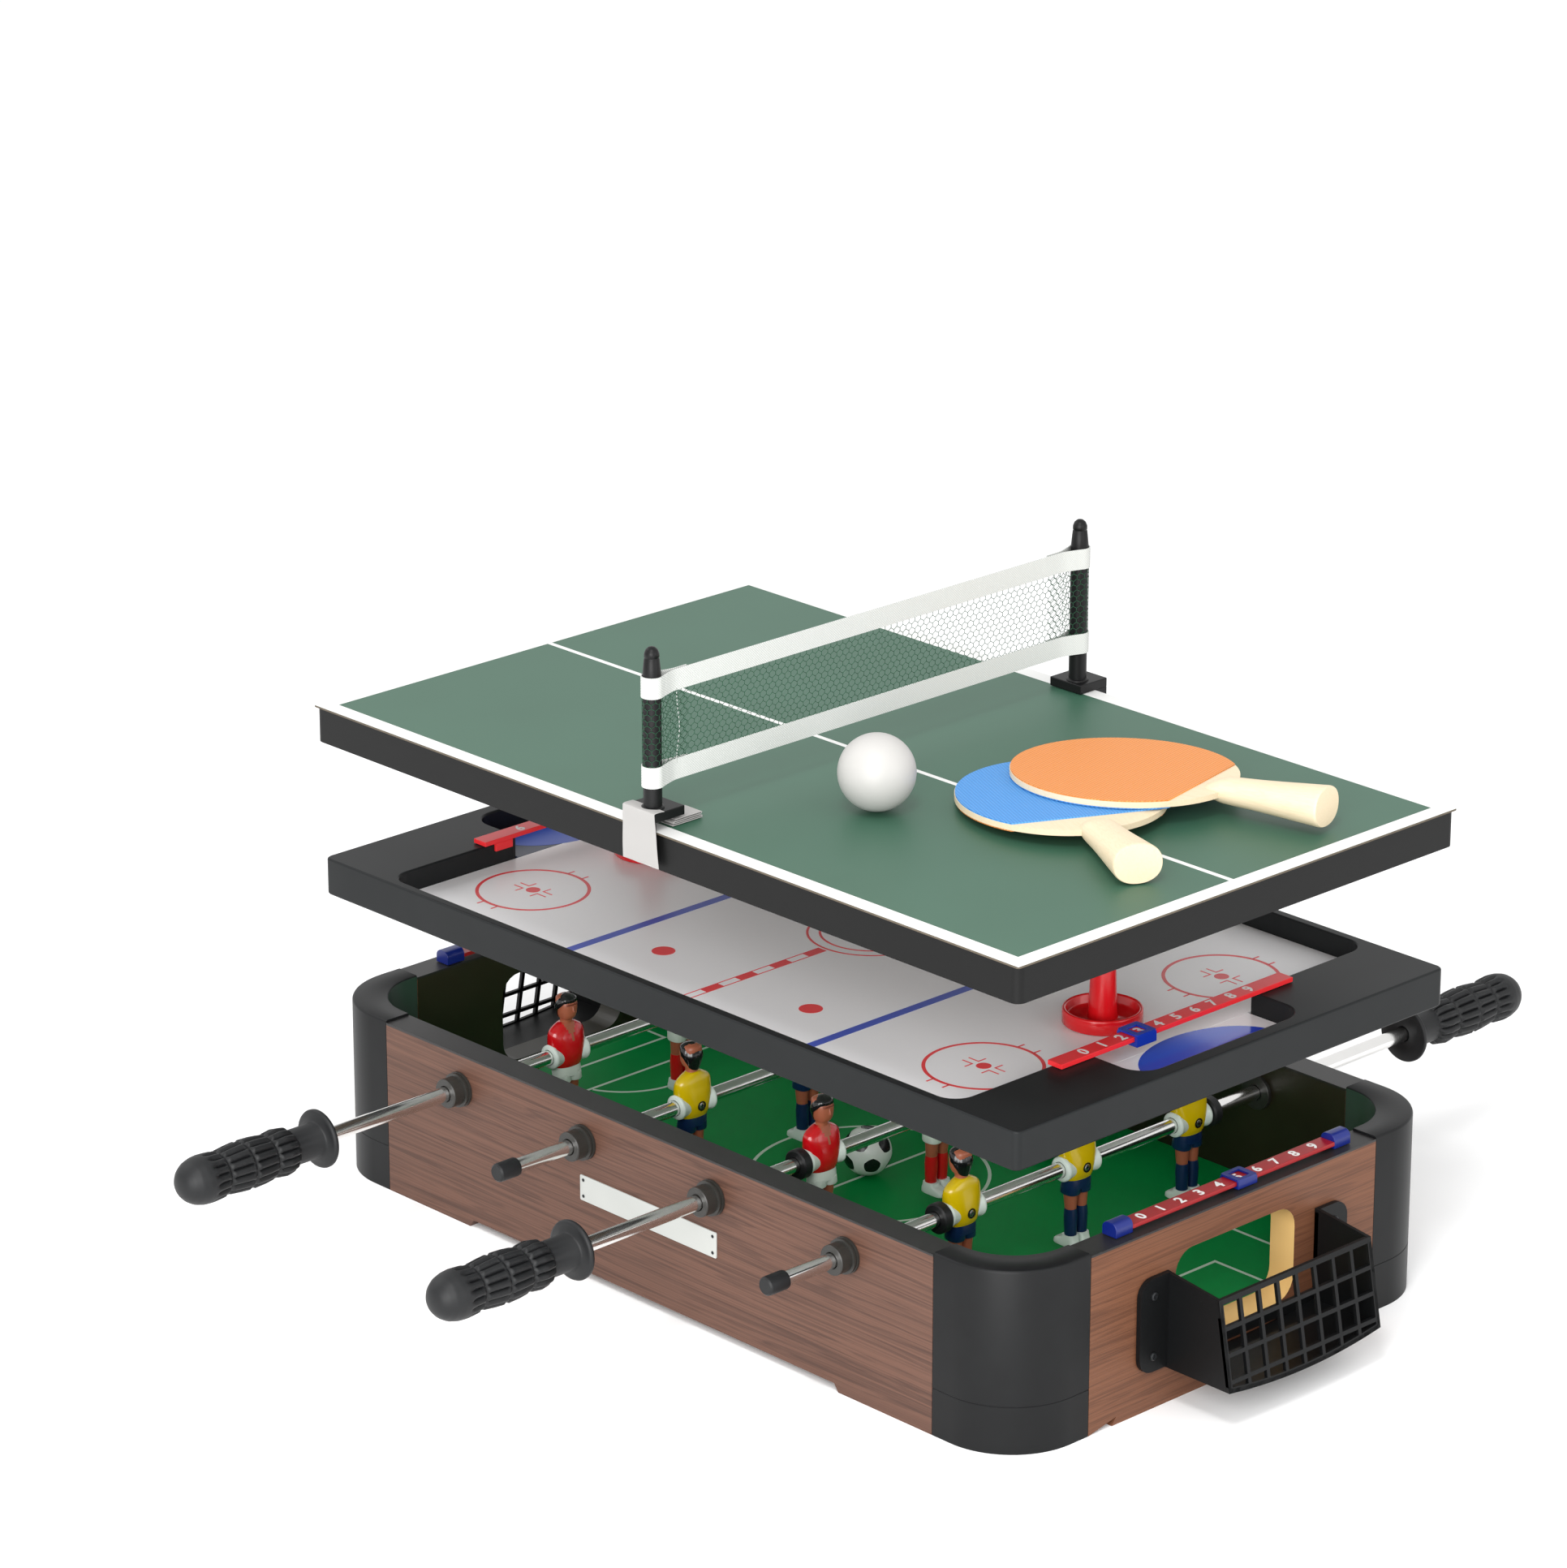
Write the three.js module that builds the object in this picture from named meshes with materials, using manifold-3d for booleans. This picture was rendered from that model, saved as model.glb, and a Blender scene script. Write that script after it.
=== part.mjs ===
// Multi game table: a small table football base, an air hockey tray and a table tennis top,
// shown one above the other as on a display, with their bats, balls, pushers and net.
// Millimetres, +Z up, origin on the floor under the middle of the football base.
// +X runs along the table towards the right goal, -Y is the front long side.

import * as THREE from 'three';
import { mergeVertices } from 'three/addons/utils/BufferGeometryUtils.js';
import Module from 'manifold-3d';

const wasm = await Module();
wasm.setup();

// Running values shared by every piece.
const seatGap = 0.3;      // air left between two solids that touch
const overrun = 6;        // how far a cutting tool runs past the face it cuts
const figureSides = 8;    // sides of a footballer's head and body
const shaftSides = 12;    // sides of a rod, of every bore on it and of small round pieces
const fineSides = 16;     // sides of the larger round pieces
const bladeSteps = 12;    // pairs of steps round a bat's blade
const filletSteps = 3;    // pairs of steps in each rounded corner
const ballDetail = 3;     // how finely the balls are divided

// The football base: four walls between four corner casings, round a green pitch.
const base = { length: 520, width: 317, wall: 16 };
const casing = { leg: 54, outerRadius: 41, innerRadius: 33, rise: 1.2, shell: 3 };
const arch = { height: 4.2, sideFoot: 66, endFoot: 17 };
const pitch = { top: 27, thickness: 3, groove: 3 };
const goalMouth = { width: 87.6, sill: 28.5, height: 51, radius: 12 };

// A goal basket is screwed over each goal mouth, a little off the middle of the wall.
const basket = {
  shift: 4.5, width: 108, plate: 2, top: 68, sideBottom: 21, troughLow: 11,
  depthTop: 35.7, depthBottom: 44.3, flangeWidth: 22, flangeTop: 79, flangeBottom: 22,
  flangeThickness: 2.6, flangeRadius: 9, bar: 2.6, rim: 3, columns: 8, rows: 4, lowRowHeight: 6,
};

// Rods, with everything that slides on them or is pinned to them.
const rod = {
  pitch: 97.1, belowTop: 19.6, radius: 4, runningGap: 0.3, tail: 219, capRadius: 5.4, capLength: 13,
};
// How far each rod stands from its middle position, from the left rod to the right one.
const rodOffset = { first: -1, second: 1, third: 1, fourth: 5 };
const bush = {
  sleeveRadius: 7.5, outerRadius: 9.5, outerThickness: 3.4,
  noseRadius: 7.9, noseLength: 10.5, innerRadius: 9.5, innerThickness: 2.4,
};
const handle = {
  fromWall: 94, flangeRadius: 15.7, flangeThickness: 3, neckRadius: 9.5, neckLength: 17.5, boreDepth: 58,
  lipRadius: 11.6, ringRadius: 12.9, waistRadius: 12, bellyRadius: 13.4, knobRadius: 13, domeRadius: 9,
  gripLength: 72,
};
// Where the grip swells and narrows, as shares of its length.
const gripShares = {
  lip: 0.01, ring: 0.1, waist: 0.2, belly: 0.42, lowWaist: 0.62, knob: 0.78, knobEnd: 0.88, dome: 0.97,
};
const bumper = { radius: 8, length: 6 };
const player = {
  perRod: 3, spacing: 83.5, bossRadius: 7.2, bossHalf: 12.3, overPitch: 5.5,
  shoulderRadius: 11.6, waistRadius: 9.4, torsoTop: 17, torsoBottom: 13,
  neckRadius: 3.6, headRadius: 6.6, headCentre: 26.6, headTop: 34,
  shortsRadius: 8.7, shortsBottom: 25, legHalfWidth: 6.6, legHalfDepth: 4,
  ankle: 38.5, sole: 44.5, toe: 10, heel: 5, footHalfWidth: 7.4,
};
// A figure's depth front to back, as a share of its width.
const figureDepthShare = 0.66;

// Counter bars: the pair on the football base and the pair on the hockey tray.
const baseCounter = {
  inset: 10, width: 9.6, thickness: 2.2, endMargin: 30.5, sliderLift: 0.7,
  blockLength: 12, blockHeight: 7.7, sliderAt: 7.5,
};
const counterSlider = { wall: 1.1, clearance: 0.3, length: 14, window: 7.6 };
const trayCounter = {
  pastEdge: 3.5, width: 11, thickness: 2.6, pastPocket: 24.5, tabLength: 12, tabDrop: 7.5, tabThickness: 2,
  sliderAt: -25.7, sliderDrop: 4.6,
};

// The hockey tray, held above the base, with a rink panel let into its frame.
const tray = { lift: 58.5, endMargin: 2, sideMargin: 3.3, cornerRadius: 4 };
const rink = {
  endRim: 47.5, sideRim: 5.7, radius: 12, depth: 12, thickness: 4.4, ledge: 6, ledgeThickness: 3.9,
};
const pocket = { width: 119, reach: 31.5, radius: 10, floor: 4.9 };
const counterChannel = { pastBlock: 5.5, depth: 8.6 };
const pusher = {
  radius: 20.5, wallHeight: 8, wall: 2, floor: 2.4, postRadius: 7.5, postTip: 6.4, height: 32,
  rightFromEnd: 41.9, leftFromEnd: 43.5, offsetY: -2.4,
};

// The table tennis top, held above the tray: a painted board on a black skirt frame.
const top = { lift: 66.1, sideMargin: 0.5, thickness: 19.9, board: 3.6, skirt: 10, inset: 0.6 };
const post = {
  radius: 4.8, tipRadius: 3, tipHeight: 5, height: 94.4, inset: 5.2,
  footLength: 22.5, footShift: -2.3, footFront: 7, footBack: 13.5, footHeight: 5, lipGap: 0.5, lipDrop: 12,
};
// A folded cloth pads the front post's foot and sticks out behind it.
const clothPad = { height: 4.7, length: 13, under: 11, proud: 11.8 };
const net = {
  lift: 21.3, height: 58, tape: 11, tapeThickness: 1.8, thickness: 1, sleeveThickness: 1,
  columns: 22, rows: 4, strand: 1.6,
};
const tennisBall = { radius: 20, x: 60.7, y: -56 };
const football = { radius: 13.3, x: 0, y: -2 };

// Two bats lie on the tennis top, one on the other.
const bat = {
  bladeHalfLength: 60, bladeHalfWidth: 53, bareNeck: 17, woodThickness: 3, rubberThickness: 0.7,
  gripLength: 55, gripBuried: 13, gripNose: 1.4, gripNeck: 6.4, gripHalfWidth: 13, gripHalfThickness: 10.4,
};
const lowerBat = { fromEnd: 138.5, y: 14.2, turnDegrees: -27 };
const upperBat = { fromEnd: 133.5, y: 55.4, turnDegrees: 14.3 };

// Colours of the real finishes, as three.js colours and surface values.
const finishes = {
  walnut: { color: 0x8d6a5a, roughness: 0.55, metalness: 0 },
  blackPlastic: { color: 0x26272a, roughness: 0.45, metalness: 0 },
  greyPlastic: { color: 0x46474b, roughness: 0.5, metalness: 0 },
  chrome: { color: 0xd8d8d8, roughness: 0.12, metalness: 1 },
  rubber: { color: 0x2b2c2c, roughness: 0.8, metalness: 0 },
  pitchGreen: { color: 0x007a32, roughness: 0.6, metalness: 0 },
  redPlastic: { color: 0xc8141c, roughness: 0.3, metalness: 0 },
  yellowPlastic: { color: 0xd9b700, roughness: 0.3, metalness: 0 },
  bluePlastic: { color: 0x1233a0, roughness: 0.35, metalness: 0 },
  rinkWhite: { color: 0xd8d7d8, roughness: 0.35, metalness: 0 },
  topGreen: { color: 0x4e7767, roughness: 0.45, metalness: 0 },
  netWhite: { color: 0xe6e5e2, roughness: 0.9, metalness: 0 },
  ballWhite: { color: 0xf4f2ee, roughness: 0.5, metalness: 0 },
  beech: { color: 0xe8cf9f, roughness: 0.6, metalness: 0 },
};

// Turns a three.js geometry into a solid that can be joined and cut.
function solid(geometry) {
  const bare = geometry.clone();
  bare.deleteAttribute('normal');
  bare.deleteAttribute('uv');
  const merged = mergeVertices(bare);
  const corners = merged.index.array;
  const kept = [];
  for (let i = 0; i < corners.length; i += 3) {
    const [a, b, c] = [corners[i], corners[i + 1], corners[i + 2]];
    if (a !== b && b !== c && a !== c) kept.push(a, b, c);
  }
  return new wasm.Manifold(new wasm.Mesh({
    numProp: 3,
    vertProperties: new Float32Array(merged.attributes.position.array),
    triVerts: new Uint32Array(kept),
  }));
}

// Turns a solid back into a geometry for a mesh.
function geometryOf(shape) {
  const mesh = shape.getMesh();
  const geometry = new THREE.BufferGeometry();
  geometry.setAttribute('position', new THREE.BufferAttribute(new Float32Array(mesh.vertProperties), 3));
  geometry.setIndex(new THREE.BufferAttribute(new Uint32Array(mesh.triVerts), 1));
  geometry.computeVertexNormals();
  return geometry;
}

// A solid with every one of a list of solids cut away.
function without(shape, cutters) {
  return cutters.reduce((left, cutter) => left.subtract(cutter), shape);
}

// A box between two corners.
function block(low, high) {
  const size = high.map((value, axis) => value - low[axis]);
  const middle = high.map((value, axis) => (value + low[axis]) / 2);
  return solid(new THREE.BoxGeometry(...size).translate(...middle));
}

// A box centred on x and y, from one height to another.
function slab(halfX, halfY, low, high) {
  return block([-halfX, -halfY, low], [halfX, halfY, high]);
}

// An outline in the XY plane pulled up from one height to another.
function raised(shape, low, high, steps = filletSteps) {
  const options = { depth: high - low, bevelEnabled: false, curveSegments: steps };
  return solid(new THREE.ExtrudeGeometry(shape, options).translate(0, 0, low));
}

// An outline drawn in Y (across) and Z (up), pulled along +X.
function pulledAlongX(shape, from, to) {
  const options = { depth: to - from, bevelEnabled: false, curveSegments: filletSteps };
  const geometry = new THREE.ExtrudeGeometry(shape, options);
  geometry.rotateX(Math.PI / 2).rotateZ(Math.PI / 2).translate(from, 0, 0);
  return solid(geometry);
}

// A profile of [radius, distance] points turned round the Z axis.
function turned(profile, sides) {
  const points = profile.map(([radius, along]) => new THREE.Vector2(radius, along));
  return solid(new THREE.LatheGeometry(points, sides).rotateX(Math.PI / 2));
}

// A closed ring profile, with its first point repeated at the end.
function turnedRing(profile, sides) {
  return turned([...profile, profile[0]], sides);
}

// A turned piece laid along Y, its distances running towards -Y.
function laidTowardsFront(shape) {
  return shape.rotate([90, 0, 0]);
}

// A rectangle with rounded corners, centred on the origin.
function roundedRectangle(halfX, halfY, radius) {
  const shape = new THREE.Shape();
  const [x, y] = [halfX - radius, halfY - radius];
  const centres = [[x, y], [-x, y], [-x, -y], [x, -y]];
  centres.forEach(([centreX, centreY], i) => {
    shape.absarc(centreX, centreY, radius, i * Math.PI / 2, (i + 1) * Math.PI / 2, false);
  });
  shape.closePath();
  return shape;
}

// A mesh with its finish.
function piece(name, shape, finish) {
  const mesh = new THREE.Mesh(geometryOf(shape), new THREE.MeshStandardMaterial(finishes[finish]));
  mesh.name = name;
  return mesh;
}

const rodOffsets = Object.values(rodOffset);
const rodPositions = rodOffsets.map((offset, i) => (i - (rodOffsets.length - 1) / 2) * rod.pitch);
const boreRadius = rod.radius + rod.runningGap;
// The figures hang just clear of the pitch, and the walls end above the rods.
const axisHeight = pitch.top + player.overPitch + player.sole;
const baseHeight = axisHeight + rod.belowTop;
const halfLength = base.length / 2;
const halfWidth = base.width / 2;
const insideX = halfLength - base.wall;
const insideY = halfWidth - base.wall;
const wallEndX = halfLength - casing.leg;
const wallEndY = halfWidth - casing.leg;
const pitchUnderside = pitch.top - pitch.thickness;

// One long wall, seen from the front side, with its bush holes and pitch groove.
function sideWall() {
  let wall = block([-wallEndX + seatGap, -halfWidth, 0], [wallEndX - seatGap, -insideY, baseHeight]);
  const archHalf = wallEndX - arch.sideFoot;
  wall = wall.subtract(block([-archHalf, -halfWidth - overrun, -overrun],
    [archHalf, -insideY + overrun, arch.height]));
  wall = wall.subtract(block([-wallEndX - overrun, -insideY - pitch.groove, pitchUnderside - seatGap],
    [wallEndX + overrun, -insideY + overrun, pitch.top + seatGap]));
  const drill = laidTowardsFront(turned(
    [[0, insideY - overrun], [bush.sleeveRadius + seatGap, insideY - overrun],
      [bush.sleeveRadius + seatGap, halfWidth + overrun], [0, halfWidth + overrun]], shaftSides));
  for (const x of rodPositions) wall = wall.subtract(drill.translate([x, 0, axisHeight]));
  return wall;
}

// One end wall at +X, with its goal mouth and pitch groove.
function endWall() {
  let wall = block([insideX, -wallEndY + seatGap, 0], [halfLength, wallEndY - seatGap, baseHeight]);
  const archHalf = wallEndY - arch.endFoot;
  wall = wall.subtract(block([insideX - overrun, -archHalf, -overrun],
    [halfLength + overrun, archHalf, arch.height]));
  wall = wall.subtract(block([insideX - overrun, -wallEndY - overrun, pitchUnderside - seatGap],
    [insideX + pitch.groove, wallEndY + overrun, pitch.top + seatGap]));
  const mouth = new THREE.Shape();
  const half = goalMouth.width / 2;
  const crown = goalMouth.sill + goalMouth.height;
  mouth.moveTo(-half, goalMouth.sill).lineTo(half, goalMouth.sill);
  mouth.absarc(half - goalMouth.radius, crown - goalMouth.radius, goalMouth.radius, 0, Math.PI / 2, false);
  mouth.absarc(goalMouth.radius - half, crown - goalMouth.radius, goalMouth.radius,
    Math.PI / 2, Math.PI, false);
  mouth.closePath();
  return wall.subtract(pulledAlongX(mouth, insideX - overrun, halfLength + overrun));
}

// Outline of the corner casing at +X +Y: round outside, round inside, two short legs.
function casingOutline(inward) {
  const [x, y] = [halfLength - inward, halfWidth - inward];
  const outer = casing.outerRadius - inward;
  const inner = Math.min(casing.innerRadius, casing.leg - base.wall - casing.shell) + inward;
  const [innerX, innerY] = [insideX + inward, insideY + inward];
  const shape = new THREE.Shape();
  shape.moveTo(innerX, wallEndY + inward);
  shape.lineTo(x, wallEndY + inward);
  shape.absarc(x - outer, y - outer, outer, 0, Math.PI / 2, false);
  shape.lineTo(wallEndX + inward, y);
  shape.lineTo(wallEndX + inward, innerY);
  shape.absarc(innerX - inner, innerY - inner, inner, Math.PI / 2, 0, true);
  shape.closePath();
  return shape;
}

// One corner casing: a moulded shell, closed on top and open below.
function cornerCasing() {
  const casingTop = baseHeight + casing.rise;
  const body = raised(casingOutline(0), 0, casingTop);
  return body.subtract(raised(casingOutline(casing.shell), -overrun, casingTop - casing.shell));
}

// The pitch board, let into the grooves of the four walls and clipped by the casings.
function pitchBoard() {
  const reachX = insideX - seatGap;
  const reachY = insideY - seatGap;
  const outline = roundedRectangle(reachX, reachY, casing.innerRadius);
  const intoSides = slab(wallEndX - 2 * seatGap, insideY + pitch.groove - seatGap, pitchUnderside, pitch.top);
  const intoEnds = slab(insideX + pitch.groove - seatGap, wallEndY - 2 * seatGap, pitchUnderside, pitch.top);
  return raised(outline, pitchUnderside, pitch.top).add(intoSides).add(intoEnds);
}

// Outline of the basket's face in Y and Z, its lower edge bowed down into a trough.
function basketFaceOutline(half, lift) {
  const shape = new THREE.Shape();
  const drop = basket.sideBottom - basket.troughLow;
  shape.moveTo(half, basket.sideBottom + lift);
  shape.lineTo(half, basket.top);
  shape.lineTo(-half, basket.top);
  shape.lineTo(-half, basket.sideBottom + lift);
  const share = 2 * half / basket.columns;
  for (let i = 1; i < basket.columns; i += 1) {
    const y = -half + i * share;
    shape.lineTo(y, basket.sideBottom + lift - drop * (1 - (y / half) ** 2));
  }
  shape.closePath();
  return shape;
}

// One goal basket for the +X wall: side plates with screw flanges, a trough and a lattice face.
function goalBasket() {
  const half = basket.width / 2;
  const wallFace = halfLength + seatGap;
  const lean = Math.atan2(basket.depthBottom - basket.depthTop, basket.top - basket.sideBottom);
  const plateDepth = basket.depthBottom + overrun;
  // The trough and the side plates are one thin channel, open on top.
  const outside = pulledAlongX(basketFaceOutline(half, 0), wallFace, wallFace + plateDepth);
  const insideOutline = basketFaceOutline(half - basket.plate, basket.plate);
  const hollow = pulledAlongX(insideOutline, wallFace - overrun, wallFace + plateDepth + overrun);
  const shell = outside.subtract(hollow).subtract(slab(halfLength + plateDepth + overrun, half - basket.plate,
    basket.top - basket.plate, basket.top + overrun));
  // The lattice face leans outwards towards the floor.
  const cell = (basket.width - 2 * basket.rim + basket.bar) / basket.columns;
  const rowHeight = (basket.top - basket.rim - basket.sideBottom - basket.lowRowHeight + basket.bar)
    / (basket.rows - 1);
  const windows = [];
  for (let column = 0; column < basket.columns; column += 1) {
    const left = -half + basket.rim + column * cell;
    const right = left + cell - basket.bar;
    const bow = (basket.sideBottom - basket.troughLow) * (1 - ((left + right) / basket.width) ** 2);
    for (let row = 0; row < basket.rows; row += 1) {
      const high = basket.top - basket.rim - row * rowHeight;
      const lowest = basket.sideBottom + basket.rim - bow;
      const low = row < basket.rows - 1 ? high - rowHeight + basket.bar : lowest;
      windows.push(block([-basket.plate - overrun, left, low], [overrun, right, high]));
    }
  }
  const leaning = (shape) => shape.translate([0, 0, -basket.top])
    .rotate([0, THREE.MathUtils.radToDeg(-lean), 0])
    .translate([wallFace + basket.depthTop, 0, basket.top]);
  const face = leaning(without(pulledAlongX(basketFaceOutline(half, 0), -basket.plate, 0), windows));
  const reach = basket.width;
  const beyondFace = leaning(block([0, -reach, -reach], [reach, reach, reach]));
  const tidy = shell.subtract(beyondFace).add(face);
  // Screw flanges stand against the wall on both sides.
  const flange = new THREE.Shape();
  const flangeEnd = half + basket.flangeWidth;
  flange.moveTo(half - basket.plate, basket.flangeTop);
  flange.lineTo(half - basket.plate, basket.flangeBottom);
  flange.absarc(flangeEnd - basket.flangeRadius, basket.flangeBottom + basket.flangeRadius,
    basket.flangeRadius, -Math.PI / 2, 0, false);
  flange.absarc(flangeEnd - basket.flangeRadius, basket.flangeTop - basket.flangeRadius,
    basket.flangeRadius, 0, Math.PI / 2, false);
  flange.closePath();
  const rightFlange = pulledAlongX(flange, wallFace, wallFace + basket.flangeThickness);
  const leftFlange = rightFlange.mirror([0, 1, 0]);
  return tidy.add(rightFlange).add(leftFlange);
}

// A rod bush at the front wall: sleeve through the wall, washer inside, collar and nose outside.
// A positive fit leaves it loose in its hole, a negative one joins it to the wall.
function rodBush(fit) {
  const inner = insideY - fit;
  const outer = halfWidth + fit;
  const sleeve = bush.sleeveRadius + seatGap - fit;
  return laidTowardsFront(turnedRing([
    [boreRadius, inner - bush.innerThickness], [bush.innerRadius, inner - bush.innerThickness],
    [bush.innerRadius, inner], [sleeve, inner], [sleeve, outer],
    [bush.outerRadius, outer], [bush.outerRadius, outer + bush.outerThickness],
    [bush.noseRadius, outer + bush.outerThickness], [bush.noseRadius, outer + bush.noseLength],
    [boreRadius, outer + bush.noseLength],
  ], shaftSides));
}

const bumperEdge = player.spacing + player.bossHalf + seatGap;
const handleFace = halfWidth + handle.fromWall;

// A rod with its handle end towards the front and a rubber cap on its tail.
// Its fixed bumper is on the handle's side for 1, on the tail's side for -1, and left out for 0.
function slidingRod(bumperSide) {
  const capEnd = rod.capLength - rod.tail;
  const profile = [[0, -rod.tail], [rod.capRadius, -rod.tail], [rod.capRadius, capEnd], [rod.radius, capEnd]];
  if (bumperSide !== 0) {
    const middle = bumperSide * (bumperEdge + bumper.length / 2);
    const [near, far] = [middle - bumper.length / 2, middle + bumper.length / 2];
    profile.push([rod.radius, near], [bumper.radius, near], [bumper.radius, far], [rod.radius, far]);
  }
  const inside = handleFace + handle.boreDepth - seatGap;
  profile.push([rod.radius, inside], [0, inside]);
  return laidTowardsFront(turned(profile, shaftSides));
}

// A loose rubber bumper ring.
function bumperRing() {
  return laidTowardsFront(turnedRing([[boreRadius, 0], [bumper.radius, 0],
    [bumper.radius, bumper.length], [boreRadius, bumper.length]], shaftSides));
}

// A moulded grip: hand guard, neck, swelling grip and rounded end, with a blind bore.
function gripHandle() {
  const guard = handle.flangeThickness;
  const start = guard + handle.neckLength;
  const at = (share) => start + handle.gripLength * share;
  const g = gripShares;
  const profile = [[0, handle.boreDepth], [boreRadius, handle.boreDepth], [boreRadius, 0],
    [handle.flangeRadius, 0], [handle.flangeRadius, guard], [handle.neckRadius, guard],
    [handle.neckRadius, start], [handle.lipRadius, at(g.lip)], [handle.ringRadius, at(g.ring)],
    [handle.waistRadius, at(g.waist)], [handle.bellyRadius, at(g.belly)],
    [handle.waistRadius, at(g.lowWaist)], [handle.knobRadius, at(g.knob)],
    [handle.knobRadius, at(g.knobEnd)], [handle.domeRadius, at(g.dome)], [0, start + handle.gripLength]];
  return laidTowardsFront(turned(profile, fineSides)).translate([0, -handleFace, 0]);
}

// A round piece of a figure, flattened front to back.
function flattened(shape) {
  return shape.scale([figureDepthShare, 1, 1]);
}

// One footballer facing +X, with its bore on the rod axis.
function footballer() {
  const p = player;
  const boss = laidTowardsFront(turned([[0, -p.bossHalf], [p.bossRadius, -p.bossHalf],
    [p.bossRadius, p.bossHalf], [0, p.bossHalf]], shaftSides));
  const torso = flattened(turned([[0, -p.torsoBottom], [p.waistRadius, -p.torsoBottom],
    [p.shoulderRadius, p.torsoTop - p.neckRadius], [p.waistRadius, p.torsoTop],
    [0, p.torsoTop]], figureSides));
  const neck = turned([[0, 0], [p.neckRadius, 0], [p.neckRadius, p.headCentre],
    [0, p.headCentre]], figureSides);
  const tall = (p.headTop - p.headCentre) / p.headRadius;
  const head = solid(new THREE.SphereGeometry(p.headRadius, figureSides, figureSides / 2))
    .rotate([90, 0, 0]).scale([1, 1, tall]).translate([0, 0, p.headCentre]);
  const shorts = flattened(turned([[0, -p.shortsBottom], [p.shortsRadius, -p.shortsBottom],
    [p.waistRadius, -p.torsoBottom + p.neckRadius], [0, -p.torsoBottom + p.neckRadius]], figureSides));
  const legs = slab(p.legHalfDepth, p.legHalfWidth, -p.ankle - seatGap, -p.shortsBottom + p.neckRadius);
  const foot = block([-p.heel, -p.footHalfWidth, -p.sole], [p.toe, p.footHalfWidth, -p.ankle]);
  const bore = laidTowardsFront(turned([[0, -p.bossHalf - overrun], [boreRadius, -p.bossHalf - overrun],
    [boreRadius, p.bossHalf + overrun], [0, p.bossHalf + overrun]], shaftSides));
  return boss.add(torso).add(neck).add(head).add(shorts).add(legs).add(foot).subtract(bore);
}

const baseCounterUnderside = baseHeight + baseCounter.sliderLift + counterSlider.wall
  + counterSlider.clearance;
const baseCounterHalf = wallEndY - baseCounter.endMargin;

// A counter bar of the base at +X: a red rail between two end blocks on the wall's top.
function baseCounterBar() {
  const x = halfLength - baseCounter.inset;
  const half = baseCounter.width / 2;
  const rail = block([x - half, -baseCounterHalf, baseCounterUnderside],
    [x + half, baseCounterHalf, baseCounterUnderside + baseCounter.thickness]);
  const foot = baseHeight + seatGap;
  const end = baseCounterHalf + baseCounter.blockLength;
  const far = block([x - half, baseCounterHalf - seatGap, foot],
    [x + half, end, foot + baseCounter.blockHeight]);
  return rail.add(far).add(far.mirror([0, 1, 0])).translate([0, basket.shift, 0]);
}

// A slider: a short sleeve round a bar of a given width and thickness, with a window on top.
function sliderSleeve(width, thickness, drop) {
  const s = counterSlider;
  const across = width / 2 + s.clearance;
  const outside = block([-across - s.wall, -s.length / 2, -s.clearance - s.wall - drop],
    [across + s.wall, s.length / 2, thickness + s.clearance + s.wall]);
  const inside = block([-across, -s.length / 2 - overrun, -s.clearance - drop],
    [across, s.length / 2 + overrun, thickness + s.clearance]);
  const window = slab(s.window / 2, s.window / 2, thickness, thickness + overrun);
  return outside.subtract(inside).subtract(window);
}

const trayHalfLength = halfLength - tray.endMargin;
const trayHalfWidth = halfWidth - tray.sideMargin;
const rinkHalfLength = trayHalfLength - rink.endRim;
const rinkHalfWidth = trayHalfWidth - rink.sideRim;
const trayUnderside = baseHeight + tray.lift;
const ledgeTop = trayUnderside + rink.ledgeThickness;
const rinkTop = ledgeTop + seatGap + rink.thickness;
const trayTop = rinkTop + rink.depth;
const trayCounterCentre = rinkHalfLength + trayCounter.pastEdge;

// The tray frame: rim, ledge for the rink panel, a goal pocket at each end, channels below.
function trayFrame() {
  let frame = raised(roundedRectangle(trayHalfLength, trayHalfWidth, tray.cornerRadius),
    trayUnderside, trayTop);
  const recess = roundedRectangle(rinkHalfLength, rinkHalfWidth, rink.radius);
  frame = frame.subtract(raised(recess, ledgeTop, trayTop + overrun));
  frame = frame.subtract(slab(rinkHalfLength - rink.ledge, rinkHalfWidth - rink.ledge,
    trayUnderside - overrun, trayTop));
  const pocketOutline = roundedRectangle(rinkHalfLength + pocket.reach, pocket.width / 2, pocket.radius);
  const pockets = raised(pocketOutline, trayUnderside + pocket.floor, trayTop + overrun);
  // The channel goes over the counter bar and its slider on the base below.
  const channelAt = halfLength - baseCounter.inset;
  const channelHalf = baseCounter.width / 2 + counterSlider.clearance + counterSlider.wall + seatGap;
  const channelEnd = baseCounterHalf + baseCounter.blockLength + basket.shift + counterChannel.pastBlock;
  const channel = block([channelAt - channelHalf, -channelEnd, trayUnderside - overrun],
    [channelAt + channelHalf, channelEnd, trayUnderside + counterChannel.depth]);
  return frame.subtract(pockets).subtract(channel).subtract(channel.mirror([1, 0, 0]));
}

// The rink panel, resting on the frame's ledge.
function rinkPanel() {
  const outline = roundedRectangle(rinkHalfLength - seatGap, rinkHalfWidth - seatGap, rink.radius);
  return raised(outline, rinkTop - rink.thickness, rinkTop);
}

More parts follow.
